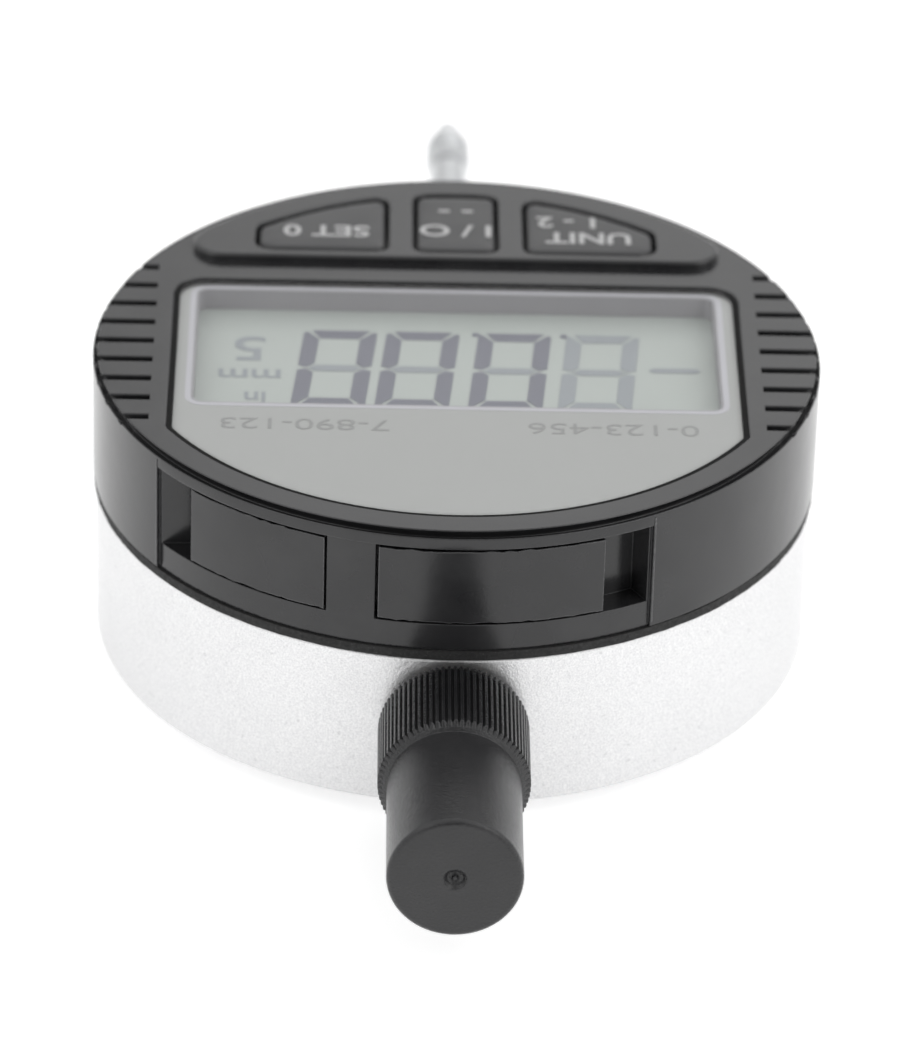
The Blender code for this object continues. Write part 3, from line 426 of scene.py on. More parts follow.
def liquid_crystal():
    """Grey-green reflective display: a fine reflector sparkle and a slow tint across it."""
    made, tree, feed = new_finish("liquid_crystal", 0.35)
    sparkle = grain(tree, 0.07, 2.0)
    slow = grain(tree, 14.0, 2.0)
    tint = mixed(tree, slow, (0.350, 0.382, 0.363), (0.382, 0.405, 0.395))
    feed(
        Base_Color=mixed(tree, span(tree, sparkle, 0.3, 0.7, 0.0, 0.3), tint, (0.43, 0.44, 0.435)),
        Roughness=span(tree, sparkle, 0.3, 0.7, 0.30, 0.42),
        Normal=relief(tree, sparkle, 0.0008),
    )
    return made


def grey_plastic():
    """Purple-grey plastic of the display's frame and of the data socket."""
    made, tree, feed = new_finish("grey_plastic", 0.5)
    fine = grain(tree, 0.15, 3.0)
    slow = grain(tree, 6.0, 2.0)
    feed(
        Base_Color=mixed(tree, slow, (0.270, 0.258, 0.280), (0.320, 0.308, 0.330)),
        Roughness=span(tree, fine, 0.3, 0.7, 0.42, 0.6),
        Normal=relief(tree, fine, 0.004, soft_edge(tree, 0.06)),
    )
    return made


def circuit_board():
    """Green solder mask over copper tracks, which show as a lighter, raised maze."""
    made, tree, feed = new_finish("circuit_board", 0.4)
    place = put(tree, "TexCoord").outputs["Object"]
    scaled = put(tree, "VectorMath", {0: place, 1: (900.0, 900.0, 900.0)}, operation="MULTIPLY").outputs[0]
    cells = put(tree, "TexVoronoi", {"Vector": scaled, "Scale": 1.0}, distance="MANHATTAN", feature="F1")
    tracks = span(tree, cells.outputs["Distance"], 0.42, 0.46, 0.0, 1.0)
    weave = grain(tree, 0.25, 2.0)
    mask = mixed(tree, weave, (0.012, 0.085, 0.035), (0.02, 0.12, 0.05))
    feed(
        Base_Color=mixed(tree, tracks, mask, (0.05, 0.26, 0.10)),
        Roughness=span(tree, weave, 0.3, 0.7, 0.30, 0.48),
        Normal=relief(tree, tracks, 0.02, relief(tree, weave, 0.006)),
    )
    return made


def copper_scale():
    """The measuring scale: copper bars across a fibre strip."""
    made, tree, feed = new_finish("copper_scale", 0.35, 0.8)
    bars = stripes(tree, 1.0472, -0.1, 0.1)
    stain = grain(tree, 0.6, 3.0)
    copper = mixed(tree, stain, (0.78, 0.42, 0.24), (0.58, 0.30, 0.17))
    feed(
        Base_Color=mixed(tree, bars, (0.10, 0.16, 0.07), copper),
        Metallic=bars,
        Roughness=span(tree, stain, 0.3, 0.7, 0.25, 0.45),
        Normal=relief(tree, bars, 0.02),
    )
    return made


def amber_film():
    """Flexible cable: amber film over copper lines."""
    made, tree, feed = new_finish("amber_film", 0.3)
    lines = stripes(tree, 0.5236, 0.0, 0.3)
    haze = grain(tree, 1.0, 3.0)
    feed(
        Base_Color=mixed(tree, lines, (0.50, 0.20, 0.03), (0.72, 0.36, 0.10)),
        Roughness=span(tree, haze, 0.3, 0.7, 0.2, 0.4),
        Normal=relief(tree, lines, 0.01, relief(tree, haze, 0.01)),
    )
    return made


def lcd_ink(name, colour):
    """A switched-on segment: grey-violet, with the display's reflector still sparkling through."""
    made, tree, feed = new_finish(name, 0.4)
    sparkle = grain(tree, 0.08, 2.0)
    slow = grain(tree, 3.0, 2.0)
    light = [min(1.0, 1.18 * c) for c in colour]
    both = arithmetic(tree, "MULTIPLY", arithmetic(tree, "ADD", sparkle, slow), 0.5)
    feed(
        Base_Color=mixed(tree, both, colour, light),
        Roughness=span(tree, sparkle, 0.3, 0.7, 0.35, 0.5),
        Normal=relief(tree, sparkle, 0.0008),
    )
    return made


MOULDING = {
    "dark": (0.013, 0.013, 0.014),
    "light": (0.020, 0.020, 0.021),
    "roughness": 0.19,
    "texture": 0.0055,
}
FINISH = {
    "black_plastic": moulded_black("black_plastic", **MOULDING),
    "silver_case": cast_silver(),
    "steel": ground_steel(),
    "dark_steel": blackened_steel(),
    "brass": turned_brass(),
    "key_rubber": key_plastic(),
    "seal_rubber": seal_rubber(),
    "clear_lens": clear_acrylic(),
    "silver_mask": printed_film("silver_mask", (0.345, 0.345, 0.345), 0.08),
    "lcd_glass": liquid_crystal(),
    "frame_plastic": grey_plastic(),
    "circuit_board": circuit_board(),
    "copper_scale": copper_scale(),
    "amber_film": amber_film(),
}
CAP_BLACK = moulded_black(
    "cap_black",
    dark=(0.010, 0.010, 0.011),
    light=(0.015, 0.015, 0.016),
    roughness=0.25,
    texture=0.06,
    edge=0.05,
    sink=0.0,
)
# The covers and the pad-end ridges: their edges are painted much lighter, a painted highlight with some
# wear.
HATCH_BLACK = moulded_black("hatch_black", edge_highlight_range=(0.4, 1.0), **MOULDING)
GAP_SHADE_BLACK = gap_shade_strip()
# Painted highlight: the lighter line round the display's opening, drawn as print on the film.
OPENING_HIGHLIGHT = printed_film("opening_highlight", (0.44, 0.43, 0.47), 0.06)
LABEL_WHITE = printed_film("label_white", (0.42, 0.42, 0.42), 0.12)
RANGE_GREY = printed_film("range_grey", (0.25, 0.25, 0.25), 0.15)
SEGMENT_DARK = lcd_ink("segment_dark", (0.118, 0.118, 0.152))
SEGMENT_PALE = lcd_ink("segment_pale", (0.225, 0.240, 0.262))


# ---------------------------------------------------------------- outlines


def polar(radius, angle):
    turn = math.radians(angle)
    return (radius * math.sin(turn), -radius * math.cos(turn))


def arc(radius, start, end, count):
    """Points along a circle about the dial's centre."""
    return [polar(radius, start + (end - start) * i / (count - 1)) for i in range(count)]


def rounded(corners, steps=5):
    """A polygon of (x, y, corner radius) with its corners rounded; with no radius a corner stays sharp."""
    outline = []
    count = len(corners)
    for i, (x, y, radius) in enumerate(corners):
        here = Vector((x, y))
        if radius <= 0:
            outline.append((x, y))
            continue
        back = (Vector(corners[i - 1][:2]) - here).normalized()
        ahead = (Vector(corners[(i + 1) % count][:2]) - here).normalized()
        half = back.angle(ahead) / 2
        centre = here + (back + ahead).normalized() * (radius / math.sin(half))
        reach = radius / math.tan(half)
        first = here + back * reach - centre
        last = here + ahead * reach - centre
        sweep = first.angle_signed(last)
        for step in range(steps + 1):
            outline.append(tuple(centre + Matrix.Rotation(-sweep * step / steps, 2) @ first))
    return outline


def opening_outline(grow):
    """The opening over the display glass."""
    half = OPENING_HALF + grow
    near = OPENING_NEAR - grow
    far = OPENING_FAR + grow
    corners = ((-half, near), (half, near), (half, far), (-half, far))
    return rounded([(x, y, 0.8 + grow) for x, y in corners])


def window_outline(grow):
    """The lens: a straight far side and straight flanks, and a near side that follows the dial."""
    half = WINDOW_HALF + grow
    radius = WINDOW_R + grow
    reach = math.degrees(math.asin(half / radius))
    near_edge = [(*point, 0.0) for point in arc(radius, -reach, reach, 61)]
    for end in (0, -1):
        near_edge[end] = (*near_edge[end][:2], 0.9 + grow)
    far = WINDOW_FAR + grow
    return rounded(near_edge + [(half, far, 2.0 + grow), (-half, far, 2.0 + grow)])


def key_outline(side, grow):
    """A key's outline: side is -1, 0 or 1, and its far edge follows the dial."""
    radius = KEY_R + grow
    near = KEY_NEAR - grow
    left, right = KEY_SIDES[abs(side)]
    left -= grow
    right += grow
    sharp = max(0.2, 1.1 + grow)
    outer = max(0.2, 1.5 + grow) if side else sharp
    angles = [180 - math.degrees(math.asin(x / radius)) for x in (right, left)]
    far_edge = [(*point, 0.0) for point in arc(radius, *angles, 6 if side else 4)]
    far_edge[0] = (*far_edge[0][:2], outer)
    far_edge[-1] = (*far_edge[-1][:2], sharp)
    outline = rounded([(left, near, sharp), (right, near, outer)] + far_edge)
    return [(-x, y) for x, y in reversed(outline)] if side < 0 else outline


def key_outline_for(side, offset=0.0):
    """One key's outline as a function of how far it grows."""
    return lambda grow: key_outline(side, offset + grow)


def panel_outline(grow):
    """The raised panel round the keys."""
    radius = PANEL_R + grow
    reach = math.degrees(math.acos((PANEL_NEAR - grow) / radius))
    clear = 10.0
    far_edge = [(*point, 0.0) for point in arc(radius, 180 - reach + clear, 180 + reach - clear, 61)]
    right, left = ((*polar(radius, 180 + side * reach), 2.4 + grow) for side in (-1, 1))
    return rounded([right, *far_edge, left])


def level(outline, height):
    return [(x, y, height) for x, y in outline]


def crowned(outline, low, high, edge, steps=5):
    """Levels of a slab whose top edge is rounded: outline is a function of how far it grows."""
    levels = [level(outline(0.0), low)]
    for step in range(steps + 1):
        turn = math.radians(90 * step / steps)
        levels.append(level(outline(-edge * (1 - math.cos(turn))), high - edge * (1 - math.sin(turn))))
    return levels


def flared(outline, low, surface, flare):
    """Levels of a cutter that leaves a chamfer where it comes out of the surface."""
    wide = 2 * flare
    heights = ((0.0, low), (0.0, surface - flare), (wide, surface + flare), (wide, surface + 1.0))
    return [level(outline(grow), height) for grow, height in heights]


# ---------------------------------------------------------------- shapes


def from_shape(name, shape):
    """An object from a bmesh, with its faces turned outwards."""
    bmesh.ops.recalc_face_normals(shape, faces=shape.faces)
    mesh = bpy.data.meshes.new(name)
    shape.to_mesh(mesh)
    shape.free()
    obj = bpy.data.objects.new(name, mesh)
    bpy.context.scene.collection.objects.link(obj)
    return obj


def loft(name, levels, closed=False):
    """A body through levels of equally many points; closed joins the last to the first, as in a frame."""
    shape = bmesh.new()
    loops = [[shape.verts.new(Vector(point) * MM) for point in points] for points in levels]
    bands = list(zip(loops, loops[1:]))
    if closed:
        bands.append((loops[-1], loops[0]))
    for below, above in bands:
        for i in range(len(below)):
            j = (i + 1) % len(below)
            shape.faces.new((below[i], below[j], above[j], above[i]))
    if not closed:
        shape.faces.new(reversed(loops[0]))
        shape.faces.new(loops[-1])
    return from_shape(name, shape)


def lathe(name, profile, steps=TURN_STEPS, waver=None):
    """A profile of (radius, height) turned about Z; waver(angle, radius, height) may move its points."""
    shape = bmesh.new()
    rows = []
    for radius, height in profile:
        if radius == 0:
            rows.append([shape.verts.new((0.0, 0.0, height * MM))])
            continue
        row = []
        for step in range(steps):
            turn = math.tau * step / steps
            r, h = waver(turn, radius, height) if waver else (radius, height)
            row.append(shape.verts.new((r * math.cos(turn) * MM, r * math.sin(turn) * MM, h * MM)))
        rows.append(row)
    pairs = list(zip(rows, rows[1:]))
    if len(rows[0]) > 1 or len(rows[-1]) > 1:
        pairs.append((rows[-1], rows[0]))
    for first, second in pairs:
        for i in range(steps):
            j = (i + 1) % steps
            below = (first[i % len(first)], first[j % len(first)])
            above = (second[j % len(second)], second[i % len(second)])
            shape.faces.new(list(dict.fromkeys(below + above)))
    return from_shape(name, shape)


def lay_along_y(obj, direction=1):
    """Lays a shape made along Z on the spindle's line, running to +Y or -Y."""
    turn = Matrix.Rotation(math.radians(-90 * direction), 4, "X")
    obj.data.transform(Matrix.Translation((0.0, 0.0, AXIS_Z * MM)) @ turn)
    return obj


def curved_block(name, angles, radii, heights, edge=0.0, waver=0.0):
    """A block bent round the dial; edge rounds its outer face's rim, and waver makes that rim ragged."""
    inner, outer = radii
    middle_angle = sum(angles) / 2
    length = math.radians(angles[1] - angles[0]) * outer
    size = Vector((length, outer - inner, heights[1] - heights[0]))
    shape = bmesh.new()
    bmesh.ops.create_cube(shape, size=1.0)
    bmesh.ops.scale(shape, vec=size, verts=shape.verts)
    if edge:
        front = [e for e in shape.edges if all(v.co.y < 0 for v in e.verts)]
        bmesh.ops.bevel(shape, geom=front, offset=edge, segments=3, profile=0.5, affect="EDGES")
    cuts = max(2, round(angles[1] - angles[0]))
    for step in range(1, cuts):
        place = (length * (step / cuts - 0.5), 0.0, 0.0)
        geometry = list(shape.verts) + list(shape.edges) + list(shape.faces)
        bmesh.ops.bisect_plane(shape, geom=geometry, dist=1e-4, plane_co=place, plane_no=(1.0, 0.0, 0.0))
    middle_height = sum(heights) / 2
    for vert in shape.verts:
        along, depth, up = vert.co
        on_rim = abs(up) > size.z / 2 - 2 * edge or abs(along) > size.x / 2 - 2 * edge
        if waver and depth < 0 and on_rim:
            up += waver * noise.noise(Vector((along, up, 3.0)) * 1.7)
            along += waver * noise.noise(Vector((along, up, 9.0)) * 1.7)
        radius = (inner + outer) / 2 - depth
        x, y = polar(radius, middle_angle + math.degrees(along / outer))
        vert.co = Vector((x, y, middle_height + up)) * MM
    return from_shape(name, shape)


def evaluated_mesh(obj):
    """The mesh that an object's modifiers, or its curve, make."""
    bpy.context.view_layer.update()
    return bpy.data.meshes.new_from_object(obj.evaluated_get(bpy.context.evaluated_depsgraph_get()))


def boolean(obj, operation, *tools):
    """Joins the tools to an object or cuts it with them, and removes them."""
    for tool in tools:
        modifier = obj.modifiers.new(tool.name, "BOOLEAN")
        modifier.operation = operation
        modifier.object = tool
    mesh = evaluated_mesh(obj)
    obj.modifiers.clear()
    obj.data = mesh
    for tool in tools:
        bpy.data.objects.remove(tool, do_unlink=True)
    return obj


def gather(name, pieces):
    """One object from several that don't touch."""
    shape = bmesh.new()
    for obj in pieces:
        shape.from_mesh(obj.data)
        bpy.data.objects.remove(obj, do_unlink=True)
    return from_shape(name, shape)


def lettering(name, words, cap_height, centre, height, bold=0.0, stretch=1.0):
    """Printed words on a level surface, upright for someone at +Y, as a very thin solid."""
    curve = bpy.data.curves.new(name, "FONT")
    curve.body = words
    curve.size = cap_height / 0.7
    curve.align_x = "CENTER"
    curve.align_y = "CENTER"
    curve.offset = bold
    curve.extrude = 0.01
    curve.resolution_u = 4
    obj = bpy.data.objects.new(name, curve)
    bpy.context.scene.collection.objects.link(obj)
    shape = bmesh.new()
    shape.from_mesh(evaluated_mesh(obj))
    bpy.data.objects.remove(obj, do_unlink=True)
    bmesh.ops.remove_doubles(shape, verts=shape.verts, dist=0.001)
    place = Matrix.Translation(Vector((*centre, height + 0.01)) * MM)
    size = Matrix.Diagonal((stretch * MM, MM, MM, 1.0))
    shape.transform(place @ Matrix.Rotation(math.pi, 4, "Z") @ size)
    return from_shape(name, shape)


def piece(obj, body, slot, finish=None, replaces=(), crease=35.0):
    """Finishes a visible piece: its material and shading, its body, and the nodes that it stands for."""
    obj.data.materials.clear()
    obj.data.materials.append(finish or FINISH[slot])
    obj.data.shade_smooth()
    obj.data.set_sharp_from_angle(angle=math.radians(crease))
    normals = obj.modifiers.new("flat_faces_stay_flat", "WEIGHTED_NORMAL")
    normals.keep_sharp = True
    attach(obj, body)
    if replaces:
        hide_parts(*replaces)
    return obj


# ---------------------------------------------------------------- case


def build_case():
    """The cast cup with its neck, and a bore through its wall for the stem and one for the upper bush."""
    inner = CASE_R - CASE_WALL
    ledge = CASE_LOW + BACK_RECESS
    deck_low = DECK_TOP - DECK_THICK
    profile = [
        (NECK_BORE, NECK_TOP, 0.2),
        (NECK_R, NECK_TOP, 0.2),
        (NECK_R, DECK_TOP, 0.0),
        (CASE_R, DECK_TOP, 0.3),
        (CASE_R, CASE_LOW, 0.35),
        (BACK_R + BACK_FIT, CASE_LOW, 0.1),
        (BACK_R + BACK_FIT, ledge, 0.0),
        (inner, ledge, 0.0),
        (inner, deck_low, 0.5),
        (NECK_BORE, deck_low, 0.0),
    ]
    shell = lathe("case_casting", rounded(profile, 4))
    bore = STEM_R + 0.05
    start = CASE_R - 9.0
    end = CASE_R + 5.0
    tools = []
    for number, direction in enumerate((1, -1), 1):
        tool = lathe(f"wall_bore_{number}", [(0, end), (bore, end), (bore, start), (0, start)], 96)
        tools.append(lay_along_y(tool, direction))
    boolean(shell, "DIFFERENCE", *tools)
    piece(shell, "case", "silver_case", replaces=("case_shell",))


def build_back():
    """The back cover, with a shallow turned groove and a counterbore for each screw."""
    profile = [
        (0.0, BACK_TOP, 0.0),
        (BACK_R, BACK_TOP, 0.1),
        (BACK_R, 0.0, 0.35),
        (BACK_GROOVE_R + 0.5, 0.0, 0.0),
        (BACK_GROOVE_R + 0.4, 0.12, 0.0),
        (BACK_GROOVE_R + 0.1, 0.12, 0.0),
        (BACK_GROOVE_R, 0.0, 0.0),
        (0.0, 0.0, 0.0),
    ]
    cover = lathe("back_plate", rounded(profile, 4))
    counterbore = [
        (0, BACK_TOP + 1),
        (SCREW_HOLE_R, BACK_TOP + 1),
        (SCREW_HOLE_R, SCREW_HEAD_DEPTH),
        (SCREW_HEAD_R, SCREW_HEAD_DEPTH),
        (SCREW_HEAD_R, -1),
        (0, -1),
    ]
    tools = []
    for number in range(1, 5):
        low, high = box_mm(f"back_cover_screw_{number}")
        centre = (low + high) / 2
        hole = lathe(f"counterbore_{number}", counterbore, 64)
        hole.data.transform(Matrix.Translation((centre.x * MM, centre.y * MM, 0.0)))
        tools.append(hole)
    boolean(cover, "DIFFERENCE", *tools)
    piece(cover, "case", "silver_case", replaces=("back_cover",))


def ragged(turn, radius, height):
    """Moves a point of the seal's skin: it is cut foam, so its rim is uneven."""
    place = Vector((math.cos(turn), math.sin(turn), 0.0))
    slow = noise.noise(place * 18.0 + Vector((0.0, 0.0, height)))
    quick = noise.noise(place * 90.0 + Vector((0.0, 0.0, height * 5)))
    if radius > SEAL_BORE:
        radius += 0.05 * slow + 0.05 * quick - 0.06
    return radius, height + 0.02 * quick


def build_seal():
    rows = 5
    outer = [(RING_R, SEAL_TOP - (SEAL_TOP - SEAL_LOW) * i / rows) for i in range(rows + 1)]
    profile = [(SEAL_BORE, SEAL_TOP), *outer, (SEAL_BORE, SEAL_LOW)]
    seal = lathe("seal_strip", profile, 2 * TURN_STEPS, ragged)
    piece(seal, "case", "seal_rubber", replaces=("seal_ring",), crease=60.0)


def build_stem():
    """The steel stem, and the brass bush with a flange in its end."""
    profile = [
        (STEM_BORE, STEM_END, 0.0),
        (STEM_R, STEM_END, 0.35),
        (STEM_R, STEM_ROOT, 0.0),
        (STEM_BORE, STEM_ROOT, 0.0),
    ]
    stem = lathe("stem_tube", rounded(profile, 5), 128)
    piece(lay_along_y(stem), "case", "steel", replaces=("stem",))
    bore = SPINDLE_R + RUNNING_FIT
    flange_low = STEM_END + 0.1
    profile = [
        (bore, BUSH_HIGH.y, 0.08),
        (BUSH_HIGH.x, BUSH_HIGH.y, 0.15),
        (BUSH_HIGH.x, flange_low, 0.0),
        (BUSH_SHANK_R, flange_low, 0.0),
        (BUSH_SHANK_R, BUSH_LOW.y, 0.0),
        (bore, BUSH_LOW.y, 0.0),
    ]
    bush = lathe("stem_bushing", rounded(profile, 4), 128)
    piece(lay_along_y(bush), "case", "brass", replaces=("stem_bush",))


# ---------------------------------------------------------------- spindle


def build_spindle():
    profile = [
        (0.0, NOSE - 5.0, 0.0),
        (POINT_SOCKET_R, NOSE - 4.6, 0.0),
        (POINT_SOCKET_R, NOSE, 0.0),
        (SPINDLE_R, NOSE, 0.18),
        (SPINDLE_R, SPINDLE_TOP, 0.3),
        (0.0, SPINDLE_TOP, 0.0),
    ]
    rod = lathe("spindle_rod", rounded(profile, 4), 128)
    piece(lay_along_y(rod), "spindle", "steel", replaces=("spindle",))


def build_contact_point():
    """The screwed-in point: a body with a turned line and a tapered end, and the ball in its tip."""
    profile = [
        (0.0, NOSE + 6.2, 0.0),
        (0.75, NOSE + 6.4, 0.0),
        (BALL_R - 0.02, NOSE + 7.1, 0.03),
        (1.3, NOSE + 7.1, 0.06),
        (POINT_R, NOSE + 4.6, 0.5),
        (POINT_R, NOSE + 2.0, 0.0),
        (POINT_R - 0.07, NOSE + 1.9, 0.0),
        (POINT_R - 0.07, NOSE + 1.7, 0.0),
        (POINT_R, NOSE + 1.6, 0.0),
        (POINT_R, NOSE + 1.0, 0.1),
        (POINT_R - 0.3, NOSE + 0.3, 0.1),
        (POINT_THREAD_R, NOSE + 0.3, 0.0),
        (POINT_THREAD_R, NOSE - 4.3, 0.0),
        (0.0, NOSE - 4.3, 0.0),
    ]
    point = lathe("contact_point_body", rounded(profile, 4), 128)
    piece(lay_along_y(point), "spindle", "steel", replaces=("contact_point",))
    rows = 24
    profile = []
    for step in range(rows + 1):
        turn = math.pi * step / rows
        radius = BALL_R * math.sin(turn) if 0 < step < rows else 0.0
        profile.append((radius, BALL_CENTRE + BALL_R * math.cos(turn)))
    ball = lathe("contact_ball_polished", profile, 48)
    piece(lay_along_y(ball), "spindle", "steel", replaces=("contact_ball",), crease=80.0)


# ---------------------------------------------------------------- display


def wall_cutters():
    """The pad, the covers' rebates, the finger recesses and the openings behind the covers."""
    out = RING_R + 1.0
    low, high = DOOR_LOW, DOOR_HIGH
    tools = [curved_block("pad", PAD_ANGLES, (PAD_R, out), (RING_LOW - 1, DOOR_HIGH + 0.05))]
    battery_recess = (BATTERY_DOOR[1] - SEAM_ANGLE, PAD_ANGLES[1] - SEAM_ANGLE)
    data_recess = (PAD_ANGLES[0] + SEAM_ANGLE, DATA_DOOR[0] + SEAM_ANGLE)
    # Name, angles, the recess beside it, its taper, half the opening's angle, and the opening's heights.
    doors = (
        ("battery", BATTERY_DOOR, battery_recess, 0.0, 13.9, (low + 0.2, high - 0.6)),
        ("data", DATA_DOOR, data_recess, DATA_RECESS_TAPER, 7.2, (20.4, 22.8)),
    )
    for name, door, recess, taper, half_opening, heights in doors:
        tools.append(curved_block(name + "_rebate", door, (COVER_BACK_R, out + 0.1), (low, high)))
        outline = arc(out + 0.2, *recess, 9) + arc(RECESS_R, recess[1], recess[0] + taper, 9)
        outline.append(polar(PAD_R, recess[0]))
        tools.append(loft(name + "_recess", [level(outline, low + 0.01), level(outline, high - 0.01)]))
        middle = sum(door) / 2
        angles = (middle - half_opening, middle + half_opening)
        tools.append(curved_block(name + "_opening", angles, (THICK_BORE - 1, COVER_BACK_R + 1), heights))
    return tools


def groove_cutter():
    """All the grip grooves as one cutter, each with chamfered lips."""
    half = GROOVE_WIDTH / 2
    flare = 0.08
    bottom = FACE_TOP - GROOVE_DEPTH
    section = [
        (-half, bottom + 0.1),
        (-half + 0.1, bottom),
        (half - 0.1, bottom),
        (half, bottom + 0.1),
        (half, FACE_TOP - flare),
        (half + 2 * flare, FACE_TOP + flare),
        (-half - 2 * flare, FACE_TOP + flare),
        (-half, FACE_TOP - flare),
    ]
    cutters = []
    reach = (GROOVES_A_SIDE - 1) // 2
    for side in (-1, 1):
        for step in range(-reach, reach + 1):
            middle = GROOVE_CENTRE + step * GROOVE_PITCH
            ends = (side * GROOVE_INNER, side * (RING_R + 1.0))
            levels = [[(x, middle + y, z) for y, z in section] for x in ends]
            cutters.append(loft(f"groove_{side}_{step}", levels))
    return gather("grooves", cutters)


def build_ring():
    """The black moulding: wall, lip, dial face with its grooves, key panel, window and hatch openings."""
    profile = [
        (0.0, FACE_TOP, 0.0),
        (FACE_R, FACE_TOP, 0.06),
        (FACE_R - 0.03, FACE_TOP - 0.09, 0.0),
        (UNDERCUT_R, FACE_TOP - 0.34, 0.08),
        (UNDERCUT_R, LIP_TOP - 0.40, 0.08),
        (RING_R - 0.50, LIP_TOP - 0.36, 0.08),
        (RING_R, LIP_TOP, 0.06),
        (RING_R, RING_LOW, 0.14),
        (RING_BORE, RING_LOW, 0.0),
        (RING_BORE, FACE_LOW, 0.0),
        (0.0, FACE_LOW, 0.0),
    ]
    ring = lathe("display_moulding", rounded(profile, 4), 360)
    thick = (PAD_ANGLES[0] - 4, PAD_ANGLES[1] + 4)
    rise = (HATCH_WALL_LOW, MASK_LOW - 0.1)
    wall = curved_block("hatch_wall", thick, (THICK_BORE, RING_BORE + 0.4), rise)
    panel = loft("key_panel", crowned(panel_outline, FACE_TOP - 0.4, PANEL_TOP, 0.32))
    boolean(ring, "UNION", wall, panel)
    through = flared(lambda grow: window_outline(WINDOW_GAP + grow), FACE_LOW - 1, FACE_TOP, 0.1)
    tools = [loft("window", through)]
    for side in (-1, 0, 1):
        outline = key_outline_for(side)
        tools.append(loft(f"key_opening_{side + 2}", flared(outline, FACE_LOW - 1, PANEL_TOP, 0.12)))
    boolean(ring, "DIFFERENCE", *tools, groove_cutter(), *wall_cutters())
    piece(ring, "display", "black_plastic", replaces=("display_ring",))


def build_pad_end_ridges():
    """A thin rough ridge at each end of the pad whose convex edge catches the light; its edges are also
    painted lighter, a painted highlight for the bright line there.
    """
    heights = (RING_LOW + 0.4, LIP_TOP - 0.3)
    radii = (RING_R - 0.1, RING_R + 0.06)
    lines = []
    for side, angle in zip((-1, 1), PAD_ANGLES):
        edges = sorted((angle, angle + side * PAD_END_RIDGE_ANGLE))
        lines.append(curved_block(f"pad_end_ridge_{side}", edges, radii, heights, edge=0.03, waver=0.05))
    piece(gather("pad_end_ridges", lines), "display", "black_plastic", HATCH_BLACK)


def build_doors():
    """The two snap-in covers: a curved plate with a slightly ragged rim and two tabs behind."""
    # Piece, node, angles, play at each end, half the angle over the tabs, and the tabs' heights.
    doors = (
        ("battery_hatch", "battery_cover", BATTERY_DOOR, (0.45, 0.15), 13.6, (19.8, 22.8)),
        ("data_hatch", "data_port_cover", DATA_DOOR, (0.15, 0.45), 6.9, (20.7, 22.5)),
    )
    rise = (DOOR_LOW + 0.17, DOOR_HIGH - 0.30)
    radii = (COVER_BACK_R + 0.12, PAD_R + 0.05)
    tab_radii = (TAB_R, COVER_BACK_R + 0.1)
    for name, node, door, play, half_tabs, tab_heights in doors:
        angles = (door[0] + play[0], door[1] - play[1])
        pieces = [curved_block(name + "_plate", angles, radii, rise, edge=0.05, waver=0.12)]
        middle = sum(door) / 2
        for side in (-1, 1):
            edges = sorted((middle + side * half_tabs, middle + side * (half_tabs - 1.6)))
            pieces.append(curved_block(f"{name}_tab_{side}", edges, tab_radii, tab_heights))
        # HATCH_BLACK paints each plate's ragged rim lighter: a painted highlight.
        piece(gather(name, pieces), node, "black_plastic", HATCH_BLACK, replaces=(node,))


def build_key(node, side):
    """A soft-edged cap through the panel, a flange under it and a stem down to its switch."""
    cap = key_outline_for(side, -KEY_GAP)
    flange = key_outline_for(side, 0.5)
    levels = [level(flange(0.0), KEY_FLANGE_LOW), level(flange(0.0), KEY_FLANGE_TOP)]
    levels += crowned(cap, KEY_FLANGE_TOP, KEY_TOP - 0.12, 0.45)
    levels.append(level(cap(-1.6), KEY_TOP - 0.05))
    key = loft(node + "_cap", levels)
    foot = box_mm(node)[0].z
    head = (KEY_FLANGE_LOW + KEY_FLANGE_TOP) / 2
    stem = lathe(node + "_stem", [(0, head), (KEY_STEM_R, head), (KEY_STEM_R, foot), (0, foot)], 48)
    switch_low, switch_high = box_mm(node.replace("key", "switch"))
    centre = (switch_low + switch_high) / 2
    stem.data.transform(Matrix.Translation((centre.x * MM, centre.y * MM, 0.0)))
    piece(boolean(key, "UNION", stem), node, "key_rubber", replaces=(node,))


def build_keys():
    """The three keys, each with generic words printed on it as (words, height, centre)."""
    keys = (
        ("zero_key", -1, (("SET 0", 1.8, (-10.62, 18.1)),)),
        ("power_key", 0, (("I / O", 1.9, (0.0, 18.5)), ("- -", 1.9, (0.0, 21.6)))),
        ("unit_key", 1, (("UNIT", 1.8, (10.9, 17.6)), ("1 - 2", 1.7, (9.3, 20.3)))),
    )
    print_height = KEY_TOP - 0.06
    for node, side, lines in keys:
        build_key(node, side)
        for number, (words, cap_height, centre) in enumerate(lines, 1):
            name = f"{node}_label_{number}"
            label = lettering(name, words, cap_height, centre, print_height, bold=0.055, stretch=1.18)
            piece(label, node, "key_rubber", LABEL_WHITE)


def frame_between(name, outer, inner, low, high):
    """A flat frame between two outlines of equally many points."""
    levels = [level(outer, low), level(outer, high), level(inner, high), level(inner, low)]
    return loft(name, levels, closed=True)


def build_film():
    """The printed film behind the lens, with the display's opening, and a black strip round its edge that
    paints the gap's shade.
    """
    low = MASK_TOP + 0.02
    # Painted shade: the black strip fills the gap between lens and ring so that the gap reads dark.
    gap_shade_outer = window_outline(WINDOW_GAP - 0.02)
    gap_shade_inner = window_outline(0.02 - LENS_INSET)
    gap_shade = frame_between("window_gap_shade", gap_shade_outer, gap_shade_inner, low, FACE_TOP - 0.14)
    piece(gap_shade, "display", "black_plastic", GAP_SHADE_BLACK)
    edge = window_outline(-LENS_INSET)
    film = loft("window_film", [level(edge, low), level(edge, FILM_TOP)])
    opening = opening_outline(0.12)
    cutter = loft("film_opening", [level(opening, MASK_TOP - 1), level(opening, FILM_TOP + 1)])
    piece(boolean(film, "DIFFERENCE", cutter), "display", "silver_mask")


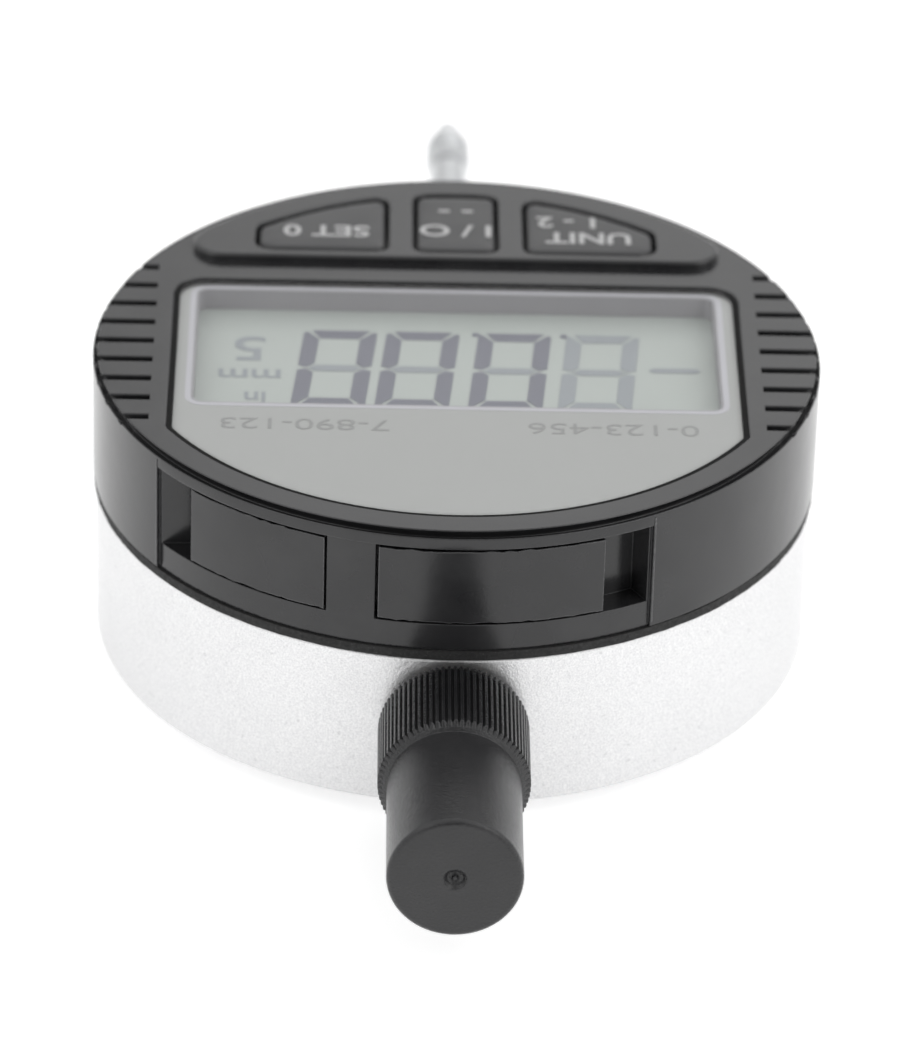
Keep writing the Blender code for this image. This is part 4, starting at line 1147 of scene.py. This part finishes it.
def build_prints():
    """What is drawn on the film: a lighter border round the opening, which is a painted highlight along its
    edge, and two generic numbers.
    """
    height = FILM_TOP + 0.004
    border = frame_between(
        "opening_highlight_band", opening_outline(0.62), opening_outline(0.13), height, FILM_TOP + 0.02
    )
    piece(border, "display", "silver_mask", OPENING_HIGHLIGHT)
    prints = (("0-123-456", (12.2, -11.9)), ("7-890-123", (-12.0, -11.9)))
    for number, (words, centre) in enumerate(prints, 1):
        mark = lettering(f"range_print_{number}", words, 1.7, centre, height, stretch=1.35)
        piece(mark, "display", "silver_mask", RANGE_GREY)


def build_window():
    """The film and its prints, the grey reveal round the display glass, and the lens over them."""
    build_film()
    reveal_outer = opening_outline(0.10)
    reveal_inner = opening_outline(-0.04)
    reveal = frame_between("opening_reveal", reveal_outer, reveal_inner, GLASS_TOP + 0.02, FILM_TOP)
    piece(reveal, "display", "frame_plastic")
    build_prints()
    levels = crowned(lambda grow: window_outline(grow - LENS_INSET), FILM_TOP + 0.04, LENS_HIGH.z, 0.1, 3)
    piece(loft("window_lens", levels), "display", "clear_lens", replaces=("lens",))


def segment(name, outline, centre, slant=0.0):
    """A thin bar of the display; slant shears it, so that the digits lean."""
    points = [(centre[0] + x + slant * y, centre[1] + y) for x, y in outline]
    return loft(name, [level(points, GLASS_TOP + 0.01), level(points, GLASS_TOP + 0.04)])


def pointed_bar(tip, shoulder, half_thick):
    """A bar across the display with a point at each end."""
    upper = [(tip, 0.0), (shoulder, half_thick), (-shoulder, half_thick)]
    return upper + [(-x, -y) for x, y in upper]


def digit_outlines(half_width, half_height, thick):
    """The seven bars of an 8, as (name, outline)."""
    inner = half_width - thick
    gap = 0.12
    upright = [
        (half_width, 0.42),
        (half_width, half_height - 0.45),
        (half_width - 0.3, half_height - 0.25),
        (inner, half_height - thick - gap),
        (inner, thick / 2 + gap),
        (half_width - thick / 2, gap),
    ]
    bars = []
    for side in (-1, 1):
        for end in (-1, 1):
            bars.append((f"upright_{side}_{end}", [(side * x, end * y) for x, y in upright]))
    across = [
        (half_width - 0.62, half_height),
        (inner - gap, half_height - thick),
        (-inner + gap, half_height - thick),
        (-half_width + 0.62, half_height),
    ]
    bars.append(("near", [(x, -y) for x, y in across]))
    bars.append(("far", across))
    tip = half_width - thick / 2 - gap
    bars.append(("middle", pointed_bar(tip, inner - gap, 0.5)))
    return bars


def build_readout():
    """The switched-on segments: three strong digits, a pale fourth, points, a minus and small signs."""
    bars = digit_outlines(2.95, 6.15, 1.3)
    strong = []
    pale = []
    for number, x in enumerate((-9.75, -3.1, 4.3, 11.4), 1):
        for name, outline in bars:
            made = segment(f"digit_{number}_{name}", outline, (x, 0.2), slant=0.08)
            faint = number == 4 or name == "middle"
            (pale if faint else strong).append(made)
    dot = [polar(0.32, angle) for angle in range(0, 360, 30)]
    for number, x in enumerate((1.6, 8.7), 1):
        strong.append(segment(f"point_{number}", dot, (x, 6.1)))
    pale.append(segment("minus", pointed_bar(2.1, 1.7, 0.4), (17.5, 0.75)))
    piece(gather("digits", strong), "display", "lcd_glass", SEGMENT_DARK)
    piece(gather("digits_pale", pale), "display", "lcd_glass", SEGMENT_PALE)
    signs = (
        ("5", 3.9, (-16.6, 3.4), 1.1),
        ("mm", 2.0, (-16.5, -1.1), 1.2),
        ("in", 1.9, (-16.0, -4.7), 1.0),
    )
    height = GLASS_TOP + 0.01
    for number, (words, cap_height, centre, stretch) in enumerate(signs, 1):
        sign = lettering(f"sign_{number}", words, cap_height, centre, height, bold=0.05, stretch=stretch)
        piece(sign, "display", "lcd_glass", SEGMENT_PALE)


# ---------------------------------------------------------------- dust cap


def knurl(turn, radius, height):
    """Presses the valleys between the collar's teeth into a point that lies outside the collar's root."""
    share = min(1.0, max(0.0, (radius - KNURL_ROOT) / (KNURL_R - KNURL_ROOT)))
    phase = (turn * KNURL_TEETH / math.tau) % 1.0
    valley = max(0.0, 1.0 - abs(phase - 0.5) / 0.30)
    return radius - share * KNURL_DEPTH * valley, height


def build_cap():
    """The screw-on cap: a plain barrel with a moulding mark on its end, and a knurled collar."""
    mark = [
        (0.0, CAP_END - 0.12),
        (0.14, CAP_END - 0.15),
        (0.28, CAP_END - 0.38),
        (0.42, CAP_END - 0.44),
        (0.60, CAP_END - 0.36),
        (0.78, CAP_END - 0.12),
        (0.92, CAP_END + 0.01),
        (1.10, CAP_END + 0.03),
        (1.30, CAP_END),
    ]
    barrel = [
        (1.4, CAP_END, 0.0),
        (BARREL_R, CAP_END, 0.45),
        (BARREL_R, KNURL_END, 0.0),
        (KNURL_ROOT, KNURL_END - 0.22, 0.0),
    ]
    collar = [
        (KNURL_R, KNURL_END - 0.55),
        (KNURL_R, CAP_NEAR + 0.35),
        (KNURL_ROOT, CAP_NEAR),
        (CAP_THREAD_R, CAP_NEAR),
    ]
    inside = [
        (CAP_THREAD_R, CAP_THREAD_END),
        (CAP_BORE_R, CAP_THREAD_END + 0.7),
        (CAP_BORE_R, CAP_END - CAP_FLOOR),
        (0.0, CAP_END - CAP_FLOOR),
    ]
    profile = mark + rounded(barrel, 6) + collar + inside
    cap = lay_along_y(lathe("dust_cap_turned", profile, KNURL_TEETH * 10, knurl), -1)
    piece(cap, "dust_cap", "black_plastic", CAP_BLACK, replaces=("dust_cap",), crease=28.0)


# ---------------------------------------------------------------- studio


def build_floor():
    """A pale seamless floor, bright enough to leave hardly any shadow."""
    shape = bmesh.new()
    bmesh.ops.create_grid(shape, x_segments=1, y_segments=1, size=6.0)
    floor = from_shape("studio_floor", shape)
    made, tree, feed = new_finish("studio_floor", 0.9)
    mottle = grain(tree, 40.0, 2.0)
    feed(
        Base_Color=mixed(tree, mottle, (0.72, 0.72, 0.72), (0.74, 0.74, 0.74)),
        Emission_Color=(1.0, 1.0, 1.0, 1.0),
        Emission_Strength=0.57,
    )
    floor.data.materials.append(made)


def build_light():
    """A white tent with a dim opening where the camera stands, and three soft boxes."""
    world = bpy.data.worlds.new("studio")
    world.use_nodes = True
    tree = world.node_tree
    background = tree.nodes["Background"]
    ahead = put(tree, "TexCoord").outputs["Generated"]
    nearness = put(tree, "VectorMath", {0: ahead, 1: CAMERA_PLACE.normalized()}, operation="DOT_PRODUCT")
    tent = span(tree, nearness.outputs["Value"], 0.86, 0.97, 1.0, 0.08)
    seen = put(tree, "LightPath").outputs["Is Camera Ray"]
    tree.links.new(arithmetic(tree, "MAXIMUM", tent, seen), background.inputs["Strength"])
    background.inputs["Color"].default_value = (1.0, 1.0, 1.0, 1.0)
    bpy.context.scene.world = world
    boxes = (
        ("softbox_left", (-0.45, -0.25, 0.55), 0.5, 0.6),
        ("softbox_right", (0.40, -0.20, 0.40), 0.4, 0.8),
        ("softbox_back", (0.2, 0.6, 0.6), 0.6, 0.5),
    )
    for name, place, size, power in boxes:
        lamp = bpy.data.lights.new(name, "AREA")
        lamp.size = size
        lamp.energy = power
        holder = bpy.data.objects.new(name, lamp)
        holder.location = place
        holder.rotation_euler = (-Vector(place)).to_track_quat("-Z", "Y").to_euler()
        bpy.context.scene.collection.objects.link(holder)


def build_camera():
    """The camera looks down on the dust cap's side from a little over half a metre."""
    yaw, pitch, roll = (math.radians(angle) for angle in (1.107, 30.667, 1.616))
    ahead = Vector((math.sin(yaw) * math.cos(pitch), math.cos(yaw) * math.cos(pitch), -math.sin(pitch)))
    level_right = Vector((math.cos(yaw), -math.sin(yaw), 0.0))
    level_up = level_right.cross(ahead)
    right = level_right * math.cos(roll) + level_up * math.sin(roll)
    up = level_up * math.cos(roll) - level_right * math.sin(roll)
    data = bpy.data.cameras.new("camera")
    data.lens = 220.76
    data.sensor_width = 36.0
    data.clip_start = 0.05
    data.clip_end = 20.0
    camera = bpy.data.objects.new("camera", data)
    axes = Matrix((right, up, -ahead)).transposed()
    camera.matrix_world = Matrix.Translation(CAMERA_PLACE * MM) @ axes.to_4x4()
    bpy.context.scene.collection.objects.link(camera)
    focus = bpy.data.objects.new("focus", None)
    focus.location = Vector((0.0, -33.0, 16.0)) * MM
    bpy.context.scene.collection.objects.link(focus)
    data.dof.use_dof = True
    data.dof.focus_object = focus
    data.dof.aperture_fstop = 36.0
    bpy.context.scene.camera = camera


# ---------------------------------------------------------------- assembly


def finish_nodes():
    """Every CAD node gets its slot's material, also the ones that a finer piece will stand for."""
    slots = {entry["node"]: entry["material_slot"] for entry in frame["record"]["subparts"]}
    for name, obj in frame["nodes"].items():
        obj.data.materials.clear()
        obj.data.materials.append(FINISH[slots[name]])


def main():
    finish_nodes()
    build_case()
    build_back()
    build_seal()
    build_stem()
    build_spindle()
    build_contact_point()
    build_ring()
    build_pad_end_ridges()
    build_doors()
    build_keys()
    build_window()
    build_readout()
    build_cap()
    build_floor()
    build_light()
    build_camera()
    bpy.context.scene.view_settings.view_transform = "Standard"


main()
